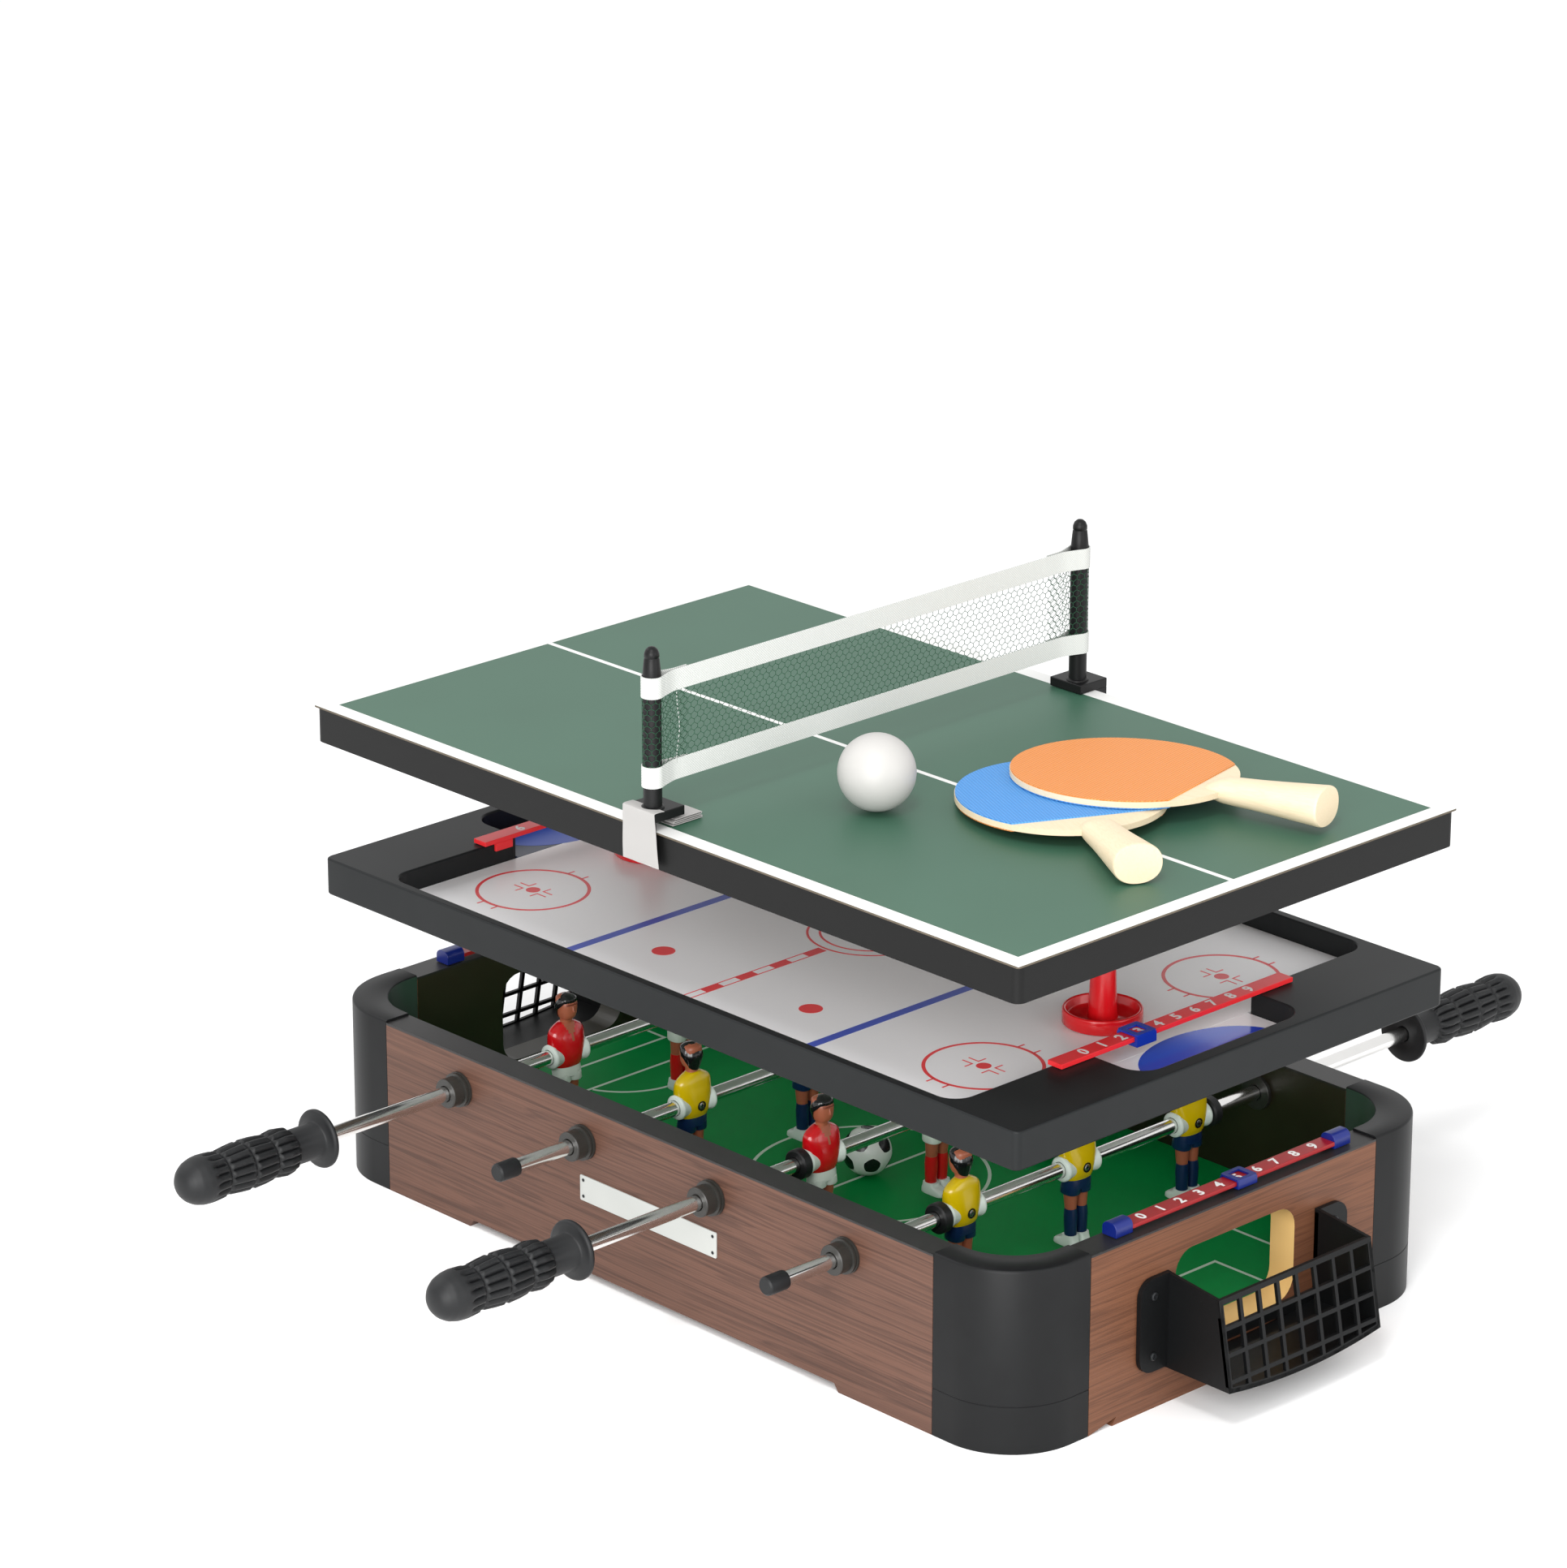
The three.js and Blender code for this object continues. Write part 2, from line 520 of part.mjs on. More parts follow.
// A counter bar of the tray at +X, bridging the goal pocket, with two locating tabs.
function trayCounterBar() {
  const c = trayCounter;
  const foot = trayTop + seatGap;
  const end = pocket.width / 2 + c.pastPocket;
  const bar = block([trayCounterCentre - c.width / 2, -end, foot],
    [trayCounterCentre + c.width / 2, end, foot + c.thickness]);
  const tabOuter = rinkHalfLength - seatGap;
  const tab = block([tabOuter - c.tabThickness, pocket.width / 2 + pocket.radius / 2, trayTop - c.tabDrop],
    [tabOuter, pocket.width / 2 + pocket.radius / 2 + c.tabLength, foot + c.thickness]);
  return bar.add(tab).add(tab.mirror([0, 1, 0]));
}

// A pusher: a shallow dish with a knob in the middle.
function pusherKnob() {
  const p = pusher;
  const foot = rinkTop + seatGap;
  return turned([[0, foot], [p.radius, foot], [p.radius, foot + p.wallHeight],
    [p.radius - p.wall, foot + p.wallHeight], [p.radius - p.wall, foot + p.floor],
    [p.postRadius, foot + p.floor], [p.postTip, foot + p.height - p.wall], [0, foot + p.height]], fineSides);
}

const topHalfWidth = halfWidth - top.sideMargin;
const topUnderside = trayTop + top.lift;
const boardTop = topUnderside + top.thickness;
const boardUnderside = boardTop - top.board;

// The playing board of the tennis top, as long as the base.
function tennisBoard() {
  return slab(halfLength, topHalfWidth, boardUnderside, boardTop);
}

// The black skirt frame under the board.
function skirtFrame() {
  const [x, y] = [halfLength - top.inset, topHalfWidth - top.inset];
  const high = boardUnderside - seatGap;
  return slab(x, y, topUnderside, high)
    .subtract(slab(x - top.skirt, y - top.skirt, topUnderside - overrun, high + overrun));
}

// A net post: a rod on a foot whose lip hooks over the edge of the top. Both feet face the same way.
function netPost(side, lift) {
  const centre = side * (topHalfWidth - post.inset);
  const [left, right] = [post.footShift - post.footLength / 2, post.footShift + post.footLength / 2];
  const [front, back] = [centre - post.footFront, centre + post.footBack];
  const foot = boardTop + seatGap + lift;
  const plate = block([left, front, foot], [right, back, foot + post.footHeight]);
  const lipEdges = [side * (topHalfWidth + post.lipGap), side > 0 ? back : front].sort((a, b) => a - b);
  const lip = block([left, lipEdges[0], boardTop - post.lipDrop], [right, lipEdges[1], foot + seatGap]);
  const stemStart = foot + post.footHeight / 2;
  const tip = boardTop + post.height;
  const stem = turned([[0, stemStart], [post.radius, stemStart],
    [post.radius, tip - post.tipHeight], [post.tipRadius, tip - post.tipRadius / 2], [0, tip]],
  fineSides).translate([0, centre, 0]);
  return plate.add(lip).add(stem);
}

// The front post with the folded cloth under its foot.
function paddedPost() {
  const right = post.footShift + post.footLength / 2;
  const back = post.inset - topHalfWidth + post.footBack;
  const pad = block([right - clothPad.length, back - clothPad.under, boardTop + seatGap],
    [right, back + clothPad.proud, boardTop + seatGap + clothPad.height + seatGap]);
  return netPost(-1, clothPad.height).add(pad);
}

// The net: an open mesh between two tapes, sewn into a sleeve round each post.
function tennisNet() {
  const centre = topHalfWidth - post.inset;
  const sleeveInner = post.radius + seatGap;
  const sleeveOuter = sleeveInner + net.sleeveThickness;
  const half = centre - sleeveInner;
  const low = boardTop + net.lift;
  const high = low + net.height;
  const cellWidth = 2 * (half - net.strand) / net.columns;
  const meshLow = low + net.tape;
  const cellHeight = (high - net.tape - meshLow) / net.rows;
  const [reachY, reachZ] = [(cellWidth - net.strand) / 2, (cellHeight - net.strand) / 2];
  const diamond = new THREE.Shape();
  diamond.moveTo(-reachY, 0).lineTo(0, -reachZ).lineTo(reachY, 0).lineTo(0, reachZ).closePath();
  const opening = pulledAlongX(diamond, -overrun, overrun);
  const openings = [];
  for (let column = 0; column < net.columns; column += 1) {
    for (let row = 0; row < net.rows; row += 1) {
      const y = (column + 0.5 - net.columns / 2) * cellWidth;
      const z = meshLow + (row + 0.5) * cellHeight;
      openings.push(opening.translate([0, y, z]));
      const between = column < net.columns - 1 && row < net.rows - 1;
      if (between) openings.push(opening.translate([0, y + cellWidth / 2, z + cellHeight / 2]));
    }
  }
  const halfSheet = net.thickness / 2;
  const halfTape = net.tapeThickness / 2;
  const sleeve = turnedRing([[sleeveInner, low], [sleeveOuter, low],
    [sleeveOuter, high], [sleeveInner, high]], shaftSides);
  const tapes = slab(halfTape, half, low, low + net.tape)
    .add(slab(halfTape, half, high - net.tape, high));
  const sheet = slab(halfSheet, half, low + net.strand, high - net.strand);
  return without(sheet, openings).add(tapes)
    .add(sleeve.translate([0, centre, 0])).add(sleeve.translate([0, -centre, 0]));
}

// A ball of many flat faces.
function ball(radius) {
  return solid(new THREE.IcosahedronGeometry(radius, ballDetail));
}

const batEnd = bat.bladeHalfLength + bat.gripLength;

// One bat, its blade centred on the origin and its handle along +X.
function tableTennisBat() {
  const b = bat;
  const half = b.woodThickness / 2;
  const rubberEnd = b.bladeHalfLength - b.bareNeck;
  const blade = new THREE.Shape();
  blade.absellipse(0, 0, b.bladeHalfLength, b.bladeHalfWidth, 0, 2 * Math.PI, false, 0);
  const rubber = raised(blade, -half - b.rubberThickness, half + b.rubberThickness, bladeSteps)
    .subtract(block([rubberEnd, -b.bladeHalfWidth - overrun, -batEnd],
      [batEnd, b.bladeHalfWidth + overrun, batEnd]));
  const gripStart = b.bladeHalfLength - b.gripBuried;
  const grip = turned([[0, gripStart], [b.gripNose, gripStart], [b.gripNeck, b.bladeHalfLength],
    [b.gripHalfThickness, batEnd - b.rubberThickness],
    [b.gripHalfThickness - b.rubberThickness, batEnd], [0, batEnd]], shaftSides)
    .rotate([0, 90, 0]).scale([1, b.gripHalfWidth / b.gripHalfThickness, 1]);
  return rubber.add(raised(blade, -half, half, bladeSteps)).add(grip);
}

const table = new THREE.Group();
const footballBase = new THREE.Group();
const hockeyTray = new THREE.Group();
const tennisTop = new THREE.Group();
table.add(footballBase, hockeyTray, tennisTop);

// The base's walls, casings, pitch, baskets and bushes.
const front = sideWall();
const frontBush = rodBush(seatGap);
// The rear bushes are pressed into the rear wall and share its node.
const rearBush = rodBush(-seatGap).rotate([0, 0, 180]);
let back = front.rotate([0, 0, 180]);
footballBase.add(piece('front_wall', front, 'walnut'));
rodPositions.forEach((x, i) => {
  back = back.add(rearBush.translate([x, 0, axisHeight]));
  footballBase.add(piece(`front_bush_${i + 1}`, frontBush.translate([x, 0, axisHeight]), 'blackPlastic'));
});
footballBase.add(piece('back_wall_with_bushes', back, 'walnut'));
const rightWall = endWall();
footballBase.add(piece('right_end_wall', rightWall, 'walnut'));
footballBase.add(piece('left_end_wall', rightWall.rotate([0, 0, 180]), 'walnut'));
footballBase.add(piece('pitch_board', pitchBoard(), 'pitchGreen'));
const corner = cornerCasing();
const backCasings = { right: corner, left: corner.mirror([1, 0, 0]) };
for (const [end, casingShape] of Object.entries(backCasings)) {
  footballBase.add(piece(`corner_casing_back_${end}`, casingShape, 'greyPlastic'));
  footballBase.add(piece(`corner_casing_front_${end}`, casingShape.mirror([0, 1, 0]), 'greyPlastic'));
}
const rightBasket = goalBasket();
footballBase.add(piece('right_goal_basket', rightBasket.translate([0, basket.shift, 0]), 'blackPlastic'));
footballBase.add(piece('left_goal_basket', rightBasket.mirror([1, 0, 0]).translate([0, basket.shift, 0]),
  'blackPlastic'));

// The rods: odd ones belong to the red team in front, even ones to the yellow team at the back.
const figure = footballer();
rodOffsets.forEach((offset, i) => {
  const red = i % 2 === 0;
  const team = red ? 'red' : 'yellow';
  const place = [rodPositions[i], offset, axisHeight];
  const set = (shape) => shape.rotate([0, 0, red ? 0 : 180]).translate(place);
  // The two right-hand rods have a second bumper, at the back; their loose one is in front.
  const right = i >= rodOffsets.length / 2;
  const backSide = red ? -1 : 1;
  const ringEnd = right ? -bumperEdge : bumperEdge + bumper.length;
  const ringPlace = [place[0], offset + ringEnd, axisHeight];
  footballBase.add(piece(`rod_${i + 1}`, set(slidingRod(right ? backSide : 0)), 'chrome'));
  footballBase.add(piece(`handle_${i + 1}`, set(gripHandle()), 'rubber'));
  footballBase.add(piece(`bumper_${i + 1}`, bumperRing().translate(ringPlace), 'rubber'));
  for (let man = 0; man < player.perRod; man += 1) {
    const along = (man - (player.perRod - 1) / 2) * player.spacing * -backSide;
    footballBase.add(piece(`${team}_player_${i + 1}_${man + 1}`, set(figure.translate([0, along, 0])),
      `${team}Plastic`));
  }
});
footballBase.add(piece('football', ball(football.radius)
  .translate([football.x, football.y, pitch.top + seatGap + football.radius]), 'ballWhite'));

// Counter bars and sliders on both ends of the base.
const counterBar = baseCounterBar();
footballBase.add(piece('right_goal_counter', counterBar, 'redPlastic'));
footballBase.add(piece('left_goal_counter', counterBar.mirror([1, 0, 0]), 'redPlastic'));
const baseSlider = sliderSleeve(baseCounter.width, baseCounter.thickness, 0)
  .translate([halfLength - baseCounter.inset, basket.shift + baseCounter.sliderAt, baseCounterUnderside]);
footballBase.add(piece('right_counter_slider', baseSlider, 'bluePlastic'));
footballBase.add(piece('left_counter_slider', baseSlider.mirror([1, 0, 0]), 'bluePlastic'));

// The hockey tray and what stands on it.
hockeyTray.add(piece('hockey_tray_frame', trayFrame(), 'greyPlastic'));
hockeyTray.add(piece('rink_panel', rinkPanel(), 'rinkWhite'));
const trayBar = trayCounterBar();
hockeyTray.add(piece('right_rink_counter', trayBar, 'redPlastic'));
hockeyTray.add(piece('left_rink_counter', trayBar.rotate([0, 0, 180]), 'redPlastic'));
const traySlider = sliderSleeve(trayCounter.width, trayCounter.thickness, trayCounter.sliderDrop)
  .translate([trayCounterCentre, trayCounter.sliderAt, trayTop + seatGap]);
hockeyTray.add(piece('right_rink_slider', traySlider, 'bluePlastic'));
hockeyTray.add(piece('left_rink_slider', traySlider.rotate([0, 0, 180]), 'bluePlastic'));
const knob = pusherKnob();
const rightPusherX = rinkHalfLength - pusher.rightFromEnd;
const leftPusherX = pusher.leftFromEnd - rinkHalfLength;
hockeyTray.add(piece('right_pusher', knob.translate([rightPusherX, pusher.offsetY, 0]), 'redPlastic'));
hockeyTray.add(piece('left_pusher', knob.translate([leftPusherX, pusher.offsetY, 0]), 'redPlastic'));

// The tennis top, its net, and the bats and ball that lie on it.
tennisTop.add(piece('tennis_board', tennisBoard(), 'topGreen'));
tennisTop.add(piece('tennis_skirt', skirtFrame(), 'blackPlastic'));
tennisTop.add(piece('front_net_post', paddedPost(), 'blackPlastic'));
tennisTop.add(piece('back_net_post', netPost(1, 0), 'blackPlastic'));
tennisTop.add(piece('net', tennisNet(), 'netWhite'));
tennisTop.add(piece('tennis_ball', ball(tennisBall.radius)
  .translate([tennisBall.x, tennisBall.y, boardTop + seatGap + tennisBall.radius]), 'ballWhite'));
const batShape = tableTennisBat();
const bladeHalf = bat.woodThickness / 2 + bat.rubberThickness;
const span = batEnd + bat.bladeHalfLength;
const lowerBatX = halfLength - lowerBat.fromEnd;
const upperBatX = halfLength - upperBat.fromEnd;
// A bat rests on the far edge of its blade and on the thick end of its handle.
const tilt = Math.atan2(bat.gripHalfThickness - bladeHalf, span);
const bladeLift = bladeHalf + (bat.gripHalfThickness - bladeHalf) * bat.bladeHalfLength / span;
const layOnBoard = (shape) => shape.rotate([0, THREE.MathUtils.radToDeg(-tilt), 0])
  .rotate([0, 0, lowerBat.turnDegrees])
  .translate([lowerBatX, lowerBat.y, boardTop + seatGap + bladeLift]);
tennisTop.add(piece('lower_bat', layOnBoard(batShape), 'beech'));
// The upper bat lies flat on the lower bat's blade.
const across = new THREE.Vector2(upperBatX - lowerBatX, upperBat.y - lowerBat.y)
  .rotateAround(new THREE.Vector2(), THREE.MathUtils.degToRad(-lowerBat.turnDegrees));
const stacked = batShape.rotate([0, 0, upperBat.turnDegrees - lowerBat.turnDegrees])
  .translate([across.x, across.y, 2 * bladeHalf + seatGap]);
tennisTop.add(piece('upper_bat', layOnBoard(stacked), 'beech'));

export default table;
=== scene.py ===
"""A three-in-one games table, shaped with numpy in the frame of its solid parts.

A football base stands on the floor, a hockey tray floats above it, and a table tennis top floats above the tray.
Every length here is in millimetres. +X runs along the table, -Y is the front, +Z is up.
"""

from __future__ import annotations

import logging
import math
from dataclasses import dataclass, field, replace
from enum import Enum
from typing import ClassVar

import bmesh
import bpy
import numpy as np
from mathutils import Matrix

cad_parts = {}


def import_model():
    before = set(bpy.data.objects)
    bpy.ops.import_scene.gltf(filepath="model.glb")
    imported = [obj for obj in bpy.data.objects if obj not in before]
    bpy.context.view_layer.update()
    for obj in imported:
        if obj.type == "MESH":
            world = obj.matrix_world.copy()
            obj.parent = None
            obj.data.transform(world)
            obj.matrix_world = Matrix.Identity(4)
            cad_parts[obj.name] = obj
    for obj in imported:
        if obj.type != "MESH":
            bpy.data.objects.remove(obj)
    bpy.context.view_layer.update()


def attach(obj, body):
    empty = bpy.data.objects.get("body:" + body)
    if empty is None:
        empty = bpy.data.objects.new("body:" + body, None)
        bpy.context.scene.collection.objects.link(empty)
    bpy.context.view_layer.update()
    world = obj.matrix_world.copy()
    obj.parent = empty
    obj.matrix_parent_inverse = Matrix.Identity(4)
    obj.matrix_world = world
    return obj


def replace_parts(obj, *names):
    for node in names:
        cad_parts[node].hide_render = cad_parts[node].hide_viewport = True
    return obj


LOG = logging.getLogger("games_table")
MM = 0.001
FLAT = 0.06
"""Thickness of a printed or painted mark."""
GAP = 0.3
"""Clearance between a piece and what carries or guides it."""
BORE = 4.0 + GAP
"""Radius of the hole in everything that a rod runs through."""
Array = np.ndarray


def linear(code: str) -> tuple[float, float, float, float]:
    """Return the linear colour of an sRGB hex code.

    Args:
        code: The colour as #rrggbb.

    Returns:
        Red, green, blue and an alpha of 1, each by the sRGB curve.
    """
    srgb = np.array([int(code[at:at + 2], 16) for at in (1, 3, 5)]) / 255
    value = np.where(srgb <= 0.04045, srgb / 12.92, ((srgb + 0.055) / 1.055) ** 2.4)
    return (*(float(part) for part in value), 1.0)


# Surfaces -----------------------------------------------------------------------------------------------------------


@dataclass(frozen=True)
class Surface:
    """Faces over shared points.

    Attributes:
        points: One row of three coordinates per point.
        faces: Arrays of point numbers, each for faces of one count of corners.
        finish: The finish number of every face, one array for each array of faces.
    """

    points: Array
    faces: tuple[Array, ...]
    finish: tuple[Array, ...]

    def moved(self, x: float = 0.0, y: float = 0.0, z: float = 0.0) -> Surface:
        """Return the surface shifted by an offset."""
        return replace(self, points=self.points + np.array([x, y, z]))

    def scaled(self, x: float = 1.0, y: float = 1.0, z: float = 1.0) -> Surface:
        """Return the surface scaled, or mirrored, about the origin."""
        return replace(self, points=self.points * np.array([x, y, z]))

    def dressed(self, finish: int) -> Surface:
        """Return the surface in one finish."""
        return replace(self, finish=tuple(np.full(len(face), finish) for face in self.faces))

    def turned(self, axis: int, degrees: float) -> Surface:
        """Return the surface turned about an axis through the origin.

        Args:
            axis: The axis, 0 to 2.
            degrees: How far.

        Returns:
            The turned surface.
        """
        first, second = (axis + 1) % 3, (axis + 2) % 3
        cos, sin = math.cos(math.radians(degrees)), math.sin(math.radians(degrees))
        points = self.points.copy()
        points[:, first] = cos * self.points[:, first] - sin * self.points[:, second]
        points[:, second] = sin * self.points[:, first] + cos * self.points[:, second]
        return replace(self, points=points)


def joined(*parts: Surface) -> Surface:
    """Return one surface that holds several.

    Args:
        parts: The surfaces.

    Returns:
        The surface.
    """
    starts = np.cumsum([0, *(len(part.points) for part in parts[:-1])])
    faces = tuple(face + start for part, start in zip(parts, starts) for face in part.faces)
    marks = tuple(mark for part in parts for mark in part.finish)
    return Surface(np.vstack([part.points for part in parts]), faces, marks)


def skin(rows: Array, closed: tuple[bool, bool] = (False, True), finish: object = 0,
         ends: int | None = None) -> Surface:
    """Join a grid of points into faces.

    Args:
        rows: The points, as rows by columns by three.
        closed: Whether the last row joins the first, and the last column the first.
        finish: One finish number, or an array that spreads over the faces.
        ends: The finish of a face that closes the first and the last row, or None for no such faces.

    Returns:
        The surface.
    """
    rows = np.asarray(rows, float)
    number = np.arange(rows.shape[0] * rows.shape[1]).reshape(rows.shape[:2])
    rims = number[[0, -1]]
    number = np.vstack([number, number[:1]]) if closed[0] else number
    number = np.hstack([number, number[:, :1]]) if closed[1] else number
    corners = (number[:-1, :-1], number[:-1, 1:], number[1:, 1:], number[1:, :-1])
    quads = np.stack(corners, -1).reshape(-1, 4)
    marks = np.broadcast_to(finish, (number.shape[0] - 1, number.shape[1] - 1)).ravel()
    if ends is None:
        return Surface(rows.reshape(-1, 3), (quads,), (marks,))
    return Surface(rows.reshape(-1, 3), (quads, rims), (marks, np.full(2, ends)))


def prism(outline: Array, low: float, high: float, axis: int = 2, finish: int = 0) -> Surface:
    """Pull a flat outline along an axis.

    Args:
        outline: Corners, in the order of the two other axes.
        low: Where the prism starts on the axis.
        high: Where it ends.
        axis: The axis, 0 to 2.
        finish: The finish number.

    Returns:
        The closed prism.
    """
    rows = np.stack([np.insert(np.asarray(outline, float), axis, at, axis=1) for at in (low, high)])
    return skin(rows, finish=finish, ends=finish)


def lathe(profile: object, sides: int = 32, axis: int = 2, finish: object = 0, closed: bool = False) -> Surface:
    """Turn a profile about an axis.

    Args:
        profile: Pairs of radius and distance along the axis.
        sides: How many steps go round.
        axis: The axis, 0 to 2.
        finish: One finish number, or one for each step of the profile.
        closed: Whether the profile is a ring.

    Returns:
        The surface of revolution.
    """
    profile = np.asarray(profile, float)
    angle = np.arange(sides) * 2 * np.pi / sides
    across = profile[:, None, :1] * np.stack([np.cos(angle), np.sin(angle)], 1)
    along = np.broadcast_to(profile[:, None, 1:], (len(profile), sides, 1))
    rows = np.roll(np.concatenate([across, along], -1), axis + 1, axis=-1)
    return skin(rows, closed=(closed, True), finish=np.reshape(finish, (-1, 1)))


def box(low: tuple[float, float, float], high: tuple[float, float, float], finish: int = 0) -> Surface:
    """Return a block between two corners, to be softened by its bevel."""
    outline = np.array([(low[0], low[1]), (high[0], low[1]), (high[0], high[1]), (low[0], high[1])])
    return prism(outline, low[2], high[2], finish=finish)


def distinct(outline: Array) -> Array:
    """Return a closed outline without points that repeat the one before."""
    return outline[np.linalg.norm(outline - np.roll(outline, 1, 0), axis=1) > 1e-6]


def rectangle(half_x: float, half_y: float, x: float = 0.0, y: float = 0.0) -> Array:
    """Return the corners of a rectangle round a middle."""
    return np.array([(-half_x, -half_y), (half_x, -half_y), (half_x, half_y), (-half_x, half_y)]) + (x, y)


def rounded(corners: object, radius: object, steps: int = 6) -> Array:
    """Round the corners of a closed outline with true arcs.

    Args:
        corners: The sharp corners.
        radius: One radius, or one for each corner.
        steps: How many pieces each arc has.

    Returns:
        The outline's points.
    """
    corners = np.asarray(corners, float)
    toward = [np.roll(corners, shift, 0) - corners for shift in (1, -1)]
    toward = [side / np.linalg.norm(side, axis=1, keepdims=True) for side in toward]
    half = np.arccos(np.clip((toward[0] * toward[1]).sum(1), -1, 1)) / 2
    reach = (np.broadcast_to(radius, len(corners)) / np.tan(half))[:, None]
    start, end = (corners + side * reach for side in toward)
    part = np.linspace(0, 1, steps + 1)[None, :, None]
    pull = 2 * np.sin(half)[:, None, None] * part * (1 - part)
    top = (1 - part) ** 2 * start[:, None] + pull * corners[:, None] + part ** 2 * end[:, None]
    return distinct((top / ((1 - part) ** 2 + pull + part ** 2)).reshape(-1, 2))


def circle(radius: float, x: float = 0.0, y: float = 0.0, sides: int = 48) -> Array:
    """Return the points of a circle."""
    angle = np.arange(sides) * 2 * np.pi / sides
    return np.stack([x + radius * np.cos(angle), y + radius * np.sin(angle)], 1)


def arc(radius: float, start: float, end: float, x: float = 0.0, y: float = 0.0, steps: int = 24) -> Array:
    """Return the points of an arc between two angles in degrees."""
    angle = np.radians(np.linspace(start, end, steps + 1))
    return np.stack([x + radius * np.cos(angle), y + radius * np.sin(angle)], 1)


def on_rays(outline: Array, angles: Array, centre: Array) -> Array:
    """Return where rays from a centre meet an outline that can be seen whole from there.

    Args:
        outline: The outline's corners.
        angles: The rays' angles, in radians.
        centre: Where the rays start.

    Returns:
        One point for each ray.
    """
    offset = outline - centre
    turn = np.arctan2(offset[:, 1], offset[:, 0]) % (2 * np.pi)
    order = np.argsort(turn)
    offset, turn = offset[order], turn[order]
    after = np.searchsorted(turn, angles + 1e-9) % len(turn)
    start, end = offset[after - 1], offset[after]
    ray, edge = np.stack([np.cos(angles), np.sin(angles)], 1), end - start
    reach = (start[:, 0] * edge[:, 1] - start[:, 1] * edge[:, 0]) / (ray[:, 0] * edge[:, 1] - ray[:, 1] * edge[:, 0])
    return centre + ray * reach[:, None]


def pierced(outer: Array, inner: Array, low: float, high: float, axis: int = 2, finish: object = 0) -> Surface:
    """Pull an outline with a hole in it along an axis.

    Args:
        outer: The outline, all of which can be seen from the middle of the hole.
        inner: The hole's outline.
        low: Where the solid starts on the axis.
        high: Where it ends.
        axis: The axis, 0 to 2.
        finish: One finish number, or four: of the outer side, the high face, the hole's side and the low face.

    Returns:
        The closed solid.
    """
    centre = (inner.min(0) + inner.max(0)) / 2
    offsets = np.vstack([outer, inner]) - centre
    angles = np.unique(np.round(np.arctan2(offsets[:, 1], offsets[:, 0]) % (2 * np.pi), 7))
    outside, inside = (on_rays(outline, angles, centre) for outline in (outer, inner))
    stations = ((outside, low), (outside, high), (inside, high), (inside, low))
    rows = np.stack([np.insert(ring, axis, at, axis=1) for ring, at in stations])
    return skin(rows, closed=(True, True), finish=np.reshape(finish, (-1, 1)))


def stripe(path: object, width: float, low: float, closed: bool = False, finish: int = 0) -> Surface:
    """Draw a flat painted line with mitred corners.

    Args:
        path: Points in the XY plane.
        width: The line's width.
        low: The height that it lies at.
        closed: Whether the line runs back to its start.
        finish: The finish number.

    Returns:
        The line as a thin closed solid.
    """
    path = np.asarray(path, float)
    ahead, behind = np.roll(path, -1, 0) - path, path - np.roll(path, 1, 0)
    if not closed:
        ahead[-1], behind[0] = behind[-1], ahead[0]
    ahead, behind = (step / np.linalg.norm(step, axis=1, keepdims=True) for step in (ahead, behind))
    middle = ahead + behind
    middle /= np.linalg.norm(middle, axis=1, keepdims=True)
    side = np.stack([-middle[:, 1], middle[:, 0]], 1) * (width / 2 / (middle * ahead).sum(1))[:, None]
    high = low + FLAT
    corners = ((path + side, low), (path - side, low), (path - side, high), (path + side, high))
    rows = np.stack([np.insert(edge, 2, at, axis=1) for edge, at in corners], 1)
    return skin(rows, closed=(closed, True), finish=finish, ends=None if closed else finish)


def strands(starts: Array, ends: Array, radius: float) -> Surface:
    """Return a straight three-sided thread between each pair of points.

    Args:
        starts: Where the threads start.
        ends: Where they end.
        radius: Their radius.

    Returns:
        All threads as one surface.
    """
    along = ends - starts
    along /= np.linalg.norm(along, axis=1, keepdims=True)
    first = np.cross(along, (0.31, 0.87, 0.38))
    first /= np.linalg.norm(first, axis=1, keepdims=True)
    second = np.cross(along, first)
    angle = (np.arange(3) * 2 * np.pi / 3)[None, :, None]
    ring = radius * (np.cos(angle) * first[:, None] + np.sin(angle) * second[:, None])
    points = np.stack([starts[:, None] + ring, ends[:, None] + ring], 1).reshape(-1, 3)
    base = (np.arange(len(starts)) * 6)[:, None]
    sides = (base[:, None] + np.array([[0, 1, 4, 3], [1, 2, 5, 4], [2, 0, 3, 5]])).reshape(-1, 4)
    caps = (base[:, None] + np.array([[0, 2, 1], [3, 4, 5]])).reshape(-1, 3)
    return Surface(points, (sides, caps), (np.zeros(len(sides), int), np.zeros(len(caps), int)))


def loft(stations: object, sides: int = 28, finish: object = 0, power: float = 2.4) -> Surface:
    """Return a body through level rounded sections.

    Args:
        stations: Rows of height, middle x, half depth in x and half width in y, from one end to the other.
        sides: How many steps go round.
        finish: One finish number, one for each step, or a full grid.
        power: 2 for ellipses, more for squarer sections.

    Returns:
        The closed body.
    """
    stations = np.asarray(stations, float)
    angle = (np.arange(sides) + 0.5) * 2 * np.pi / sides
    cos, sin = np.cos(angle), np.sin(angle)
    reach = (np.abs(cos) ** power + np.abs(sin) ** power) ** (-1 / power)
    height, middle, depth, width = (column[:, None] for column in stations.T)
    rows = np.stack([middle + depth * reach * cos, width * reach * sin, height + 0 * reach], -1)
    marks = np.asarray(finish)
    marks = marks[:, None] if marks.ndim == 1 else marks
    return skin(rows, finish=marks, ends=int(marks.ravel()[0]))


